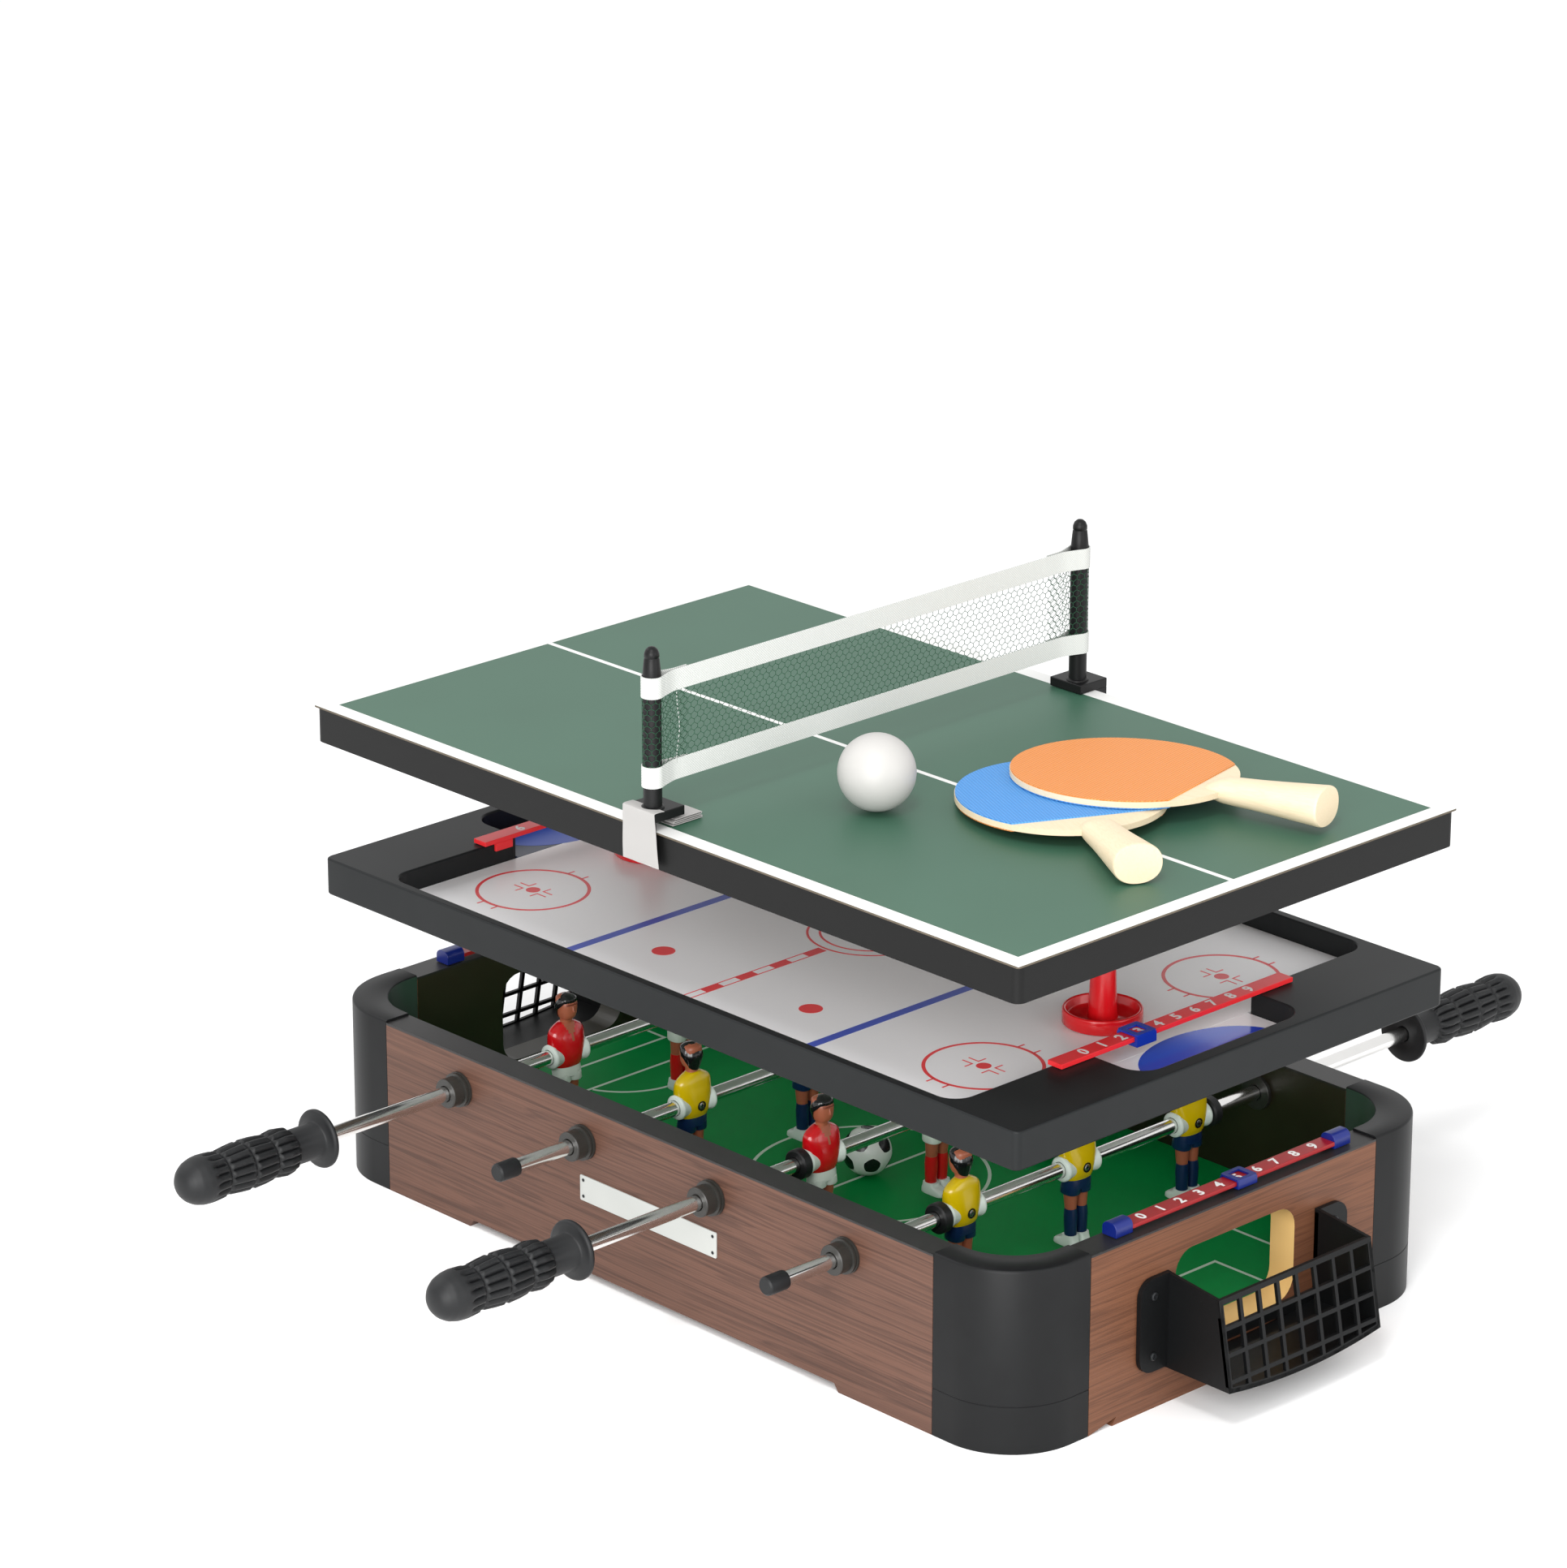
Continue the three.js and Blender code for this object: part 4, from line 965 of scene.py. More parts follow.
@dataclass(frozen=True)
class FootballBase:
    """Four walls between corner casings round a printed pitch, with goal baskets and counter bars."""

    half_length: float = 260.0
    half_width: float = 158.5
    wall: float = 16.0
    height: float = 96.6
    edging: float = 1.2
    corner: float = 54.0
    rods: tuple[float, ...] = (-145.65, -48.55, 48.55, 145.65)
    axis: float = 77.0
    foot: tuple[float, float, float] = (140.0, 137.0, 4.2)
    end_foot: tuple[float, float, float] = (87.5, 84.5, 4.2)
    mouth: tuple[float, float, float, float] = (43.8, 28.5, 79.5, 12.0)
    goal_middle: float = 4.5
    casing_height: float = 97.8
    outer_radius: float = 41.0
    inner_radius: float = 33.0
    seam: float = 25.5
    pitch: tuple[float, float] = (24.0, 27.0)
    line: float = 1.9
    plate: tuple[float, float, float, float] = (-51.0, 52.0, 44.1, 58.3)
    bar: tuple[float, float, float, float] = (74.0, 4.8, 98.7, 100.9)
    bar_inset: float = 10.0
    block: tuple[float, float, float] = (12.0, 7.4, 3.6)
    sleeve_at: float = 12.0
    basket: Basket = field(default_factory=Basket)
    counter: CounterBar = field(default_factory=lambda: CounterBar(-63.6, 14.0, 6.2))

    def long_wall(self) -> Surface:
        """Return the front wall: one upright slab for each rod, with its bore, and the black edging.

        Returns:
            The surface.
        """
        end, top = self.half_length - self.corner - GAP, self.height - self.edging
        outer, inner, rise = self.foot
        feet = np.array([(-outer, 0), (-inner, rise), (inner, rise), (outer, 0)])
        middles = [(left + right) / 2 for left, right in zip(self.rods, self.rods[1:])]
        cuts = [-end, *middles, end]
        parts = []
        for left, right, rod in zip(cuts, cuts[1:], self.rods):
            left, right = left + 0.002, right - 0.002
            floor = np.interp((left, right), feet[:, 0], feet[:, 1])
            between = feet[(feet[:, 0] > left) & (feet[:, 0] < right)]
            outline = np.vstack([(left, floor[0]), between, (right, floor[1]), (right, top), (left, top)])
            bore = circle(7.7, rod, self.axis, 32)
            # The inner face, finish 4, is the olive-black painted shade.
            parts.append(pierced(outline, bore, -self.half_width, self.wall - self.half_width, 1, (0, 4, 0, 0)))
        strip = rectangle(end, self.wall / 2, 0, self.wall / 2 - self.half_width)
        return joined(*parts, prism(strip, top, self.height, finish=1))

    def end_wall(self) -> Surface:
        """Return the right end wall with its goal mouth.

        Returns:
            The surface.
        """
        end, top = self.half_width - self.corner - GAP, self.height - self.edging
        outer, inner, rise = self.end_foot
        outline = np.array([(-end, 0), (-outer, 0), (-inner, rise), (inner, rise), (outer, 0), (end, 0),
                            (end, top), (-end, top)])
        half, sill, lintel, radius = self.mouth
        hole = rounded(rectangle(half, (lintel - sill) / 2, 0, (lintel + sill) / 2), radius)
        start = self.half_length - self.wall
        # The inner face, finish 3, is the olive-black painted shade.
        wall = pierced(outline, hole, start, self.half_length, axis=0, finish=(0, 0, 2, 3))
        strip = rectangle(self.wall / 2, end, self.half_length - self.wall / 2)
        return joined(wall, prism(strip, top, self.height, finish=1))

    def casing(self) -> Surface:
        """Return the front right corner casing: one section carried round the corner.

        Returns:
            The surface.
        """
        x, y = self.half_length - self.corner, self.corner - self.half_width
        right, front = self.half_length, -self.half_width
        paths = []
        for inset, radius in ((0.0, self.outer_radius), (self.wall, self.inner_radius)):
            bend = arc(radius, -90, 0, right - inset - radius, front + inset + radius, 20)
            paths.append(np.vstack([(x, front + inset), bend, (right - inset, y)]))
        outer, inner = (path[:, None] for path in paths)
        across = (inner - outer) / np.linalg.norm(inner - outer, axis=2, keepdims=True)
        top, seam = self.casing_height, self.seam
        section = np.array([(0, 0, 0), (0, 0, seam - 0.4), (0, 0.3, seam - 0.2), (0, 0.3, seam + 0.2),
                            (0, 0, seam + 0.4), (0, 0, top - 1.4), (0, 0.4, top - 0.5), (0, 1.4, top),
                            (1, -0.6, top), (1, 0, top - 0.6), (1, 0, 0)])
        level = outer + (inner - outer) * section[:, 0, None] + across * section[:, 1, None]
        heights = np.broadcast_to(section[:, 2], level.shape[:2])[..., None]
        marks = np.where(np.arange(len(section)) == 9, 1, 0)[None]
        return skin(np.concatenate([level, heights], -1), finish=marks, ends=0)

    def markings(self) -> Surface:
        """Return the printed lines of the pitch.

        Returns:
            The surface.
        """
        low = self.pitch[1] - FLAT
        inside_x, inside_y = self.half_length - self.wall, self.half_width - self.wall
        lines = [stripe([(0, -inside_y + 0.3), (0, inside_y - 0.3)], self.line, low),
                 stripe(circle(63.5, sides=72), self.line, low, closed=True)]
        for side, small, large in ((-1, 214.5, 187.5), (1, 202.0, 175.0)):
            end, middle = side * (inside_x - 0.4), 8.0
            for reach, half in ((small, 41.5), (large, 78.0)):
                corners = [(end, middle - half), (side * reach, middle - half),
                           (side * reach, middle + half), (end, middle + half)]
                lines.append(stripe(corners, self.line, low))
            bend = arc(41.0, -67, 67, x=-14.5, steps=24) * (-1, 1) + (large, 0)
            lines.append(stripe(bend * (side, 1) + (0, middle), self.line, low))
        return joined(*lines)

    def counter_bar(self) -> Surface:
        """Return the right counter bar between its two end blocks.

        Returns:
            The surface.
        """
        half, width, low, high = self.bar
        rail = box((-width, -half, low), (width, half, high), finish=1)
        length, tall, bend = self.block
        barrel = rounded([(-width, 0), (width, 0), (width, tall), (-width, tall)], (GAP, GAP, bend, bend), 8)
        block = prism(barrel + (0, self.height + GAP), half, half + length, axis=1)
        whole = joined(rail, block, block.scaled(y=-1))
        return whole.moved(self.half_length - self.bar_inset, self.goal_middle)

    def bush(self) -> Surface:
        """Return a front bush: inner washer, sleeve, outer washer, groove, collar and nose.

        Returns:
            The surface.
        """
        outer, inner = self.half_width + GAP, self.half_width - self.wall - GAP
        profile = [(BORE, inner - 2.4), (9.2, inner - 2.4), (9.5, inner - 2.1), (9.5, inner), (7.5, inner),
                   (7.5, outer), (9.5, outer), (9.5, outer + 1.3), (8.7, outer + 1.5), (8.7, outer + 2.0),
                   (9.3, outer + 2.2), (9.3, outer + 3.2), (7.9, outer + 3.4), (7.9, outer + 10.0),
                   (7.4, outer + 10.5), (BORE + 0.3, outer + 10.5), (BORE, outer + 10.2)]
        return lathe(profile, 40, axis=1, closed=True).scaled(y=-1)

    def build(self) -> None:
        """Make the base's pieces."""
        wood = (LAMINATE_FRONT, EDGING, FIBREBOARD, BUSH, INNER_SHADE_AND_DARK_CUT)
        front = self.long_wall()
        make_piece("walnut_front_wall", front, wood, "base", ("front_wall",))
        bushes = [self.bush().moved(rod, 0, self.axis) for rod in self.rods]
        rear = joined(front, joined(*bushes).dressed(3)).scaled(y=-1)
        make_piece("walnut_back_wall", rear, wood, "base", ("back_wall_with_bushes",))
        for number, bush in enumerate(bushes, 1):
            make_piece(f"bush_{number}", bush, (BUSH,), "base", (f"front_bush_{number}",))
        left, right, low, high = self.plate
        face = -self.half_width
        outline = rounded([(left, low), (right, low), (right, high), (left, high)], 0.8, 3)
        make_piece("blank_plate", prism(outline, face - 0.8, face, axis=1), (PLATE,), "base",
                   edge=Edge(0.15))
        screw = lathe([(0, 0.2), (0.9, 0.2), (0.9, 1.0), (0.5, 1.2), (0, 1.2)], 16, axis=1).scaled(y=-1)
        spots = [(x, z) for x in (left + 2.6, right - 2.6) for z in (low + 2.6, high - 2.6)]
        make_piece("plate_screws", joined(*(screw.moved(x, face, z) for x, z in spots)), (SCREW,), "base")
        cuts = {"right": FIBREBOARD, "left": INNER_SHADE_AND_DARK_CUT}
        walls = {"right": self.end_wall(), "left": self.end_wall().scaled(x=-1)}
        for side, sign in (("right", 1), ("left", -1)):
            make_piece(f"walnut_{side}_wall", walls[side], (LAMINATE_END, EDGING, cuts[side], INNER_SHADE_AND_DARK_CUT), "base",
                       (f"{side}_end_wall",))
            for place, turn in (("front", 1), ("back", -1)):
                make_piece(f"casing_{place}_{side}", self.casing().scaled(sign, turn), (CASING, LINER), "base",
                           (f"corner_casing_{place}_{side}",), Edge(sharp=50))
            make_piece(f"{side}_basket", self.basket.build().scaled(x=sign), (BASKET, SCREW), "base",
                       (f"{side}_goal_basket",), Edge(0.3, sharp=40))
            bar, x = self.counter_bar().scaled(x=sign), self.half_length - self.bar_inset
            make_piece(f"{side}_counter_bar", bar, (COUNTER_BLUE, COUNTER_RED), "base",
                       (f"{side}_goal_counter",), Edge(0.35))
            digits = self.counter.digits(sign * x, self.bar[3], 0 if side == "right" else 180)
            make_piece(f"{side}_counter_digits", digits.moved(y=self.goal_middle), (DIGIT,), "base")
            sleeve = CounterBar.sleeve(12.4, 97.3, 102.3, self.bar[1:])
            make_piece(f"{side}_counter_sleeve", sleeve.moved(sign * x, self.sleeve_at), (COUNTER_BLUE,),
                       f"{side}_counter", (f"{side}_counter_slider",), Edge(0.3))
        low, high = self.pitch
        floor = rounded(rectangle(self.half_length - self.wall - 0.1, self.half_width - self.wall - 0.1), 33.2, 12)
        make_piece("pitch", prism(floor, low, high - FLAT), (PITCH,), "base", ("pitch_board",))
        make_piece("pitch_lines", self.markings(), (PITCH_LINE,), "base")


# Rods and figures ---------------------------------------------------------------------------------------------------


@dataclass(frozen=True)
class Team:
    """A team's name, finishes and record slot."""

    name: str
    shirt: Finish
    shorts: Finish
    socks: Finish
    slot: str


RED_TEAM = Team("red", RED_SHIRT, PALE_SHORTS, replace(RED_SHIRT, name="red sock paint"), "player_red")
YELLOW_TEAM = Team("yellow", YELLOW_SHIRT, NAVY_AND_POCKET_SHADE, NAVY_AND_POCKET_SHADE, "player_yellow")


@dataclass(frozen=True)
class Footballer:
    """One figure round its rod: the origin on the rod's axis, the face towards +X."""

    boss_radius: float = 6.7
    boss_half: float = 12.3
    torso: tuple = ((-6.6, 0, 5.6, 8.8), (-4.5, 0, 6.5, 9.4), (-2, 0, 7.1, 9.9), (1, 0, 7.4, 10.6), (6, 0, 6.9, 11.2),
                    (10, 0, 6.0, 11.6), (13, -0.2, 5.2, 11.2), (15, -0.3, 4.5, 9.6), (16.6, -0.3, 3.9, 7.0),
                    (17.8, -0.2, 3.2, 4.4))
    head: tuple = ((15.5, 0.2, 3.0, 3.2), (19.4, 0.5, 3.0, 3.1), (20.6, 1.0, 4.0, 3.8), (23, 1.1, 5.0, 4.7),
                   (26, 1.0, 5.3, 5.3), (29, 0.8, 5.3, 5.4), (32, 0.2, 4.6, 4.7), (33.4, 0, 2.4, 2.4))
    shorts: tuple = ((-5.8, 0, 5.2, 8.2), (-9, 0.1, 5.5, 8.4), (-12, 0.3, 5.6, 8.4))

    def shirt(self) -> Surface:
        """Return the torso, its open collar marked as skin.

        Returns:
            The surface.
        """
        stations = smoothed(self.torso, 4)
        angle = (np.arange(48) + 1) * 2 * np.pi / 48
        middle = (stations[:-1] + stations[1:]) / 2
        across = np.abs(middle[:, 3:] * np.sin(angle)[None])
        collar = (np.cos(angle) > 0)[None] & (across < (middle[:, :1] - 8.6) * 0.42)
        return loft(stations, 48, np.where(collar, 3, 0), 2.3)

    def face(self) -> Surface:
        """Return the head and neck with a nose and a brow.

        Returns:
            The surface.
        """
        head = loft(smoothed(self.head, 4), 32, (3,) * 28, 2.6)
        nose = loft([(24.4, 6.1, 0.5, 0.7), (24.9, 6.3, 1.1, 0.9), (26.6, 6.1, 0.7, 0.55), (28.4, 5.8, 0.4, 0.4)],
                    10, (3,) * 3, 2.0)
        brow = loft([(28.3, 5.2, 1.05, 3.6), (28.5, 5.2, 1.2, 3.8), (29.0, 5.2, 1.2, 3.8), (29.2, 5.2, 1.05, 3.6)],
                    20, (6,) * 3, 3.2)
        return joined(head, nose, brow)

    def hair(self) -> Surface:
        """Return the cap of hair: low at the nape, straight over the brow, with combed streaks.

        Returns:
            The surface.
        """
        angle = np.arange(64) * 2 * np.pi / 64
        front = np.cos(angle)
        edge = np.interp(front, (-1, -0.5, 0, 0.45, 0.7, 1), (19.2, 20.6, 25.5, 28.0, 29.7, 29.9))
        part = np.linspace(0, 1, 13)[:, None]
        fall = np.sin(np.minimum(part * 1.25, 1) * np.pi / 2)
        height = 34.0 - (34.0 - edge[None]) * (1 - np.cos(part * np.pi / 2)) ** 0.9
        narrow = np.interp(height, (19.2, 23, 27, 34), (0.62, 0.8, 1, 1))
        streak = 1 + 0.018 * np.sin(16 * angle)[None] * fall
        x = 0.1 + 6.1 * fall * narrow * np.cos(angle)[None] * streak
        y = 6.3 * fall * narrow * np.sin(angle)[None] * streak
        rows = np.stack([x, y, height], -1)
        inner = rows[-1:] * (0.8, 0.8, 1)
        return skin(np.concatenate([rows, inner]), finish=4, ends=4)

    def legs(self) -> Surface:
        """Return the shorts, legs, socks and boots.

        Returns:
            The surface.
        """
        seat = loft(smoothed(self.shorts, 3), 36, (1,) * 6, 2.6)
        one = [loft([(-11, 0.4, 5.4, 4.0), (-14.6, 0.6, 5.4, 4.4), (-15.4, 0.6, 5.0, 4.0)], 24, (1, 1), 2.6),
               loft([(-14.8, 0.4, 3.8, 3.4), (-19, 0.4, 3.5, 3.2), (-24.2, 0.2, 3.0, 2.9)], 20, (3, 3), 2.2),
               loft([(-23.6, 0.2, 3.2, 3.1), (-28, 0.1, 3.6, 3.4), (-38.8, 0, 3.1, 3.1)], 20, (2, 2), 2.2),
               loft([(-38.2, 0.2, 3.9, 3.2), (-39.6, 0.2, 4.1, 3.4), (-40.2, 0.6, 4.6, 3.4), (-41.0, 1.9, 6.4, 3.5),
                     (-42.2, 2.4, 7.3, 3.55), (-44.0, 2.5, 7.5, 3.55), (-44.5, 2.5, 7.1, 3.3)], 28, (5,) * 6, 4.5)]
        half = joined(*one).moved(y=3.75)
        return joined(seat, half, half.scaled(y=-1))

    def boss(self) -> Surface:
        """Return the white hub round the rod, with a rim at each side of the shirt.

        Returns:
            The surface.
        """
        half, radius = self.boss_half, self.boss_radius
        profile = [(BORE, -half), (radius - 0.8, -half), (radius, 0.7 - half), (radius, 2.0 - half),
                   (6.2, 2.6 - half)]
        profile += [(r, -y) for r, y in reversed(profile)]
        return lathe(profile, 32, axis=1, finish=5, closed=True)

    def screw(self) -> Surface:
        """Return the cross-head screw in the back, at the rod's height.

        Returns:
            The surface.
        """
        ring = lathe([(1.9, 6.9), (2.7, 6.9), (2.7, 7.62), (1.9, 7.62)], 24, axis=0, finish=4, closed=True)
        head = lathe([(0, 6.6), (1.8, 6.6), (1.8, 7.3), (1.3, 7.55), (0, 7.6)], 24, axis=0, finish=7)
        slots = [box((7.5, -0.22, -1.1), (7.64, 0.22, 1.1), 4), box((7.5, -1.1, -0.22), (7.64, 1.1, 0.22), 4)]
        return joined(ring, head, *slots).scaled(x=-1)

    def build(self, name: str, team: Team, place: tuple[float, float, float], turn: float, body: str) -> None:
        """Make one figure.

        Args:
            name: The name of the solid part that it stands for.
            team: Its team.
            place: The middle of its hub.
            turn: How it faces, in degrees from +X.
            body: The body that it moves with.
        """
        figure = joined(self.shirt(), self.face(), self.hair(), self.legs(), self.boss(), self.screw())
        finishes = (team.shirt, team.shorts, team.socks, SKIN, HAIR, BOOT, BROW, STEEL)
        make_piece(f"figure_{name}", figure.turned(2, turn).moved(*place), finishes, body, (name,),
                   Edge(sharp=55))


@dataclass(frozen=True)
class Rod:
    """One playing rod with its grip, its cap, its bumpers and three figures.

    Attributes:
        number: 1 to 4 from the left.
        x: Where it crosses the table.
        offset: How far it stands from its middle position.
        side: -1 with the grip at the front, 1 at the back.
        team: Whose figures it carries.
        loose: Where its loose bumper sits along it.
        spare: Where a second bumper is fixed along it, or None.
    """

    number: int
    x: float
    offset: float
    side: int
    team: Team
    loose: float
    spare: float | None = None
    axis: float = 77.0
    radius: float = 4.0
    tail: float = 219.0
    inner_end: float = 310.2
    grip_start: float = 252.5
    spacing: float = 83.5
    swell: tuple = ((20.5, 9.5), (21.2, 11.0), (22.6, 12.0), (27.7, 12.9), (34.9, 12.0), (42, 12.9), (50.7, 13.3),
                    (58, 12.8), (65.1, 12.0), (70, 12.6), (76.0, 13.0), (80.5, 12.6), (84.8, 11.4), (88.2, 9.3),
                    (90.7, 6.6), (92, 3.9), (92.5, 0.0))

    def grip(self) -> Surface:
        """Return the fluted rubber grip: guard disc, neck and four ribbed sections.

        Returns:
            The surface.
        """
        guard = np.array([(58.0, 0.0), (58.0, BORE), (0.4, BORE), (0.0, 4.8), (0.0, 14.9), (0.5, 15.6), (1.6, 15.7),
                          (2.6, 15.2), (3.0, 14.0), (3.6, 10.2), (4.6, 9.5), (20.0, 9.5)])
        knots = np.array(self.swell)
        along = np.concatenate([np.linspace(20.5, 84, 92), np.linspace(84.6, 92.5, 14)])
        radius = np.interp(along, knots[:, 0], knots[:, 1])
        radius[1:-1] = (radius[:-2] + 2 * radius[1:-1] + radius[2:]) / 4
        grooves = np.array([35.2, 50.8, 66.2])
        near = np.abs(along[:, None] - grooves).min(1)
        radius -= 1.7 * np.clip(1 - near / 1.5, 0, 1)
        ribbed = np.clip(near / 2.4, 0, 1) * np.clip((77.5 - along) / 4, 0, 1) * np.clip((along - 20.4) / 1.2, 0, 1)
        profile = np.vstack([guard, np.stack([along, radius], 1)])
        depth = np.concatenate([np.zeros(len(guard)), 0.12 * ribbed])[:, None]
        angle = np.arange(128) * 2 * np.pi / 128
        flute = np.abs(np.sin(8 * angle)) ** 0.7
        reach = profile[:, 1:] * (1 - depth * (1 - flute[None]) * 1.5)
        rows = np.stack([reach * np.cos(angle), np.broadcast_to(profile[:, :1], reach.shape), reach * np.sin(angle)],
                        -1)
        return skin(rows).moved(y=self.grip_start)

    def bumper(self, along: float) -> Surface:
        """Return a rubber ring on the rod."""
        profile = [(BORE, -3), (7.2, -3), (8, -2.2), (8, 2.2), (7.2, 3), (BORE, 3)]
        return lathe(profile, 32, axis=1, closed=True).moved(y=along)

    def shaft(self) -> Surface:
        """Return the tube and its rubber cap, both turned about Y.

        Returns:
            The surface.
        """
        tail, radius = -self.tail, self.radius
        tube = lathe([(0, tail + 9), (radius, tail + 9), (radius, self.inner_end), (0, self.inner_end)], 32, axis=1)
        cap = lathe([(0, tail), (4.0, tail), (4.8, tail + 0.8), (5.0, tail + 2), (5.0, tail + 12.2),
                     (4.8, tail + 13), (4.02, tail + 13)], 32, axis=1, finish=1)
        closing = lathe([(4.02, tail + 13), (0, tail + 12.9)], 32, axis=1, finish=1)
        return joined(tube, cap, closing)

    def build(self) -> None:
        """Make the rod's pieces."""
        travel, spin = f"rod_{self.number}_travel", f"rod_{self.number}_spin"
        place = (self.x, self.offset, self.axis)
        shaft = self.shaft().scaled(y=self.side)
        if self.spare is not None:
            shaft = joined(shaft, self.bumper(self.spare).dressed(1))
        make_piece(f"chrome_rod_{self.number}", shaft.moved(*place), (CHROME, RUBBER), spin,
                   (f"rod_{self.number}",))
        make_piece(f"grip_{self.number}", self.grip().scaled(y=self.side).moved(*place), (RUBBER,), spin,
                   (f"handle_{self.number}",), Edge(sharp=60))
        make_piece(f"rubber_bumper_{self.number}", self.bumper(self.loose).moved(*place), (RUBBER,), travel,
                   (f"bumper_{self.number}",))
        turn = 0.0 if self.team is RED_TEAM else 180.0
        for index in range(3):
            spot = (self.x, self.offset + (index - 1) * self.spacing, self.axis)
            name = f"{self.team.name}_player_{self.number}_{index + 1}"
            Footballer().build(name, self.team, spot, turn, spin)


@dataclass(frozen=True)
class Football:
    """The small football: a white ball with twelve black patches.

    Attributes:
        radius: The ball's radius over its patches.
        print_depth: How far the patches stand out.
        patch: The angle from a patch's middle to its corners, in radians.
        turns: How the ball lies, turned about X and then about Z, in degrees.
        place: Its middle.
    """

    radius: float = 13.3
    print_depth: float = 0.05
    patch: float = 0.36
    turns: tuple[float, float] = (20.0, 25.0)
    place: tuple[float, float, float] = (0.0, -2.0, 40.6)

    def middles(self) -> Array:
        """Return the directions of the patches: the corners of an icosahedron.

        Returns:
            One unit vector for each corner.
        """
        golden = (1 + math.sqrt(5)) / 2
        corners = np.array([(0, a, b * golden) for a in (-1, 1) for b in (-1, 1)], float)
        corners = np.vstack([np.roll(corners, shift, 1) for shift in range(3)])
        return corners / np.linalg.norm(corners, axis=1, keepdims=True)

    def patches(self) -> list[Surface]:
        """Return the patches: pentagons with bulging sides, laid on the sphere in three rings.

        Returns:
            One surface for each patch.
        """
        angle = np.arange(25) * 2 * np.pi / 25
        bulge = np.cos(np.pi / 5) / np.cos((angle % (2 * np.pi / 5)) - np.pi / 5)
        reach = np.tan(self.patch * (0.6 + 0.4 * bulge))[:, None]
        shapes = []
        for middle in self.middles():
            along = np.cross(middle, (0.3, 0.5, 0.81))
            along /= np.linalg.norm(along)
            rim = reach * (np.cos(angle)[:, None] * along + np.sin(angle)[:, None] * np.cross(middle, along))
            rings = [middle + rim * share for share in (0.02, 0.5, 1.0)]
            shells = [ring / np.linalg.norm(ring, axis=1, keepdims=True) for ring in rings]
            rows = np.stack([*(self.radius * shell for shell in shells), (self.radius - 0.2) * shells[-1]])
            shapes.append(skin(rows, finish=1, ends=1))
        return shapes

    def build(self) -> None:
        """Make the ball."""
        angle, radius = np.linspace(0, np.pi, 33), self.radius - self.print_depth
        ball = lathe(np.stack([radius * np.sin(angle), -radius * np.cos(angle)], 1), 48)
        whole = joined(ball, *self.patches()).turned(0, self.turns[0]).turned(2, self.turns[1]).moved(*self.place)
        make_piece("small_football", whole, (FOOTBALL_WHITE, FOOTBALL_BLACK), "loose_football",
                   ("football",))


# The hockey tray ----------------------------------------------------------------------------------------------------


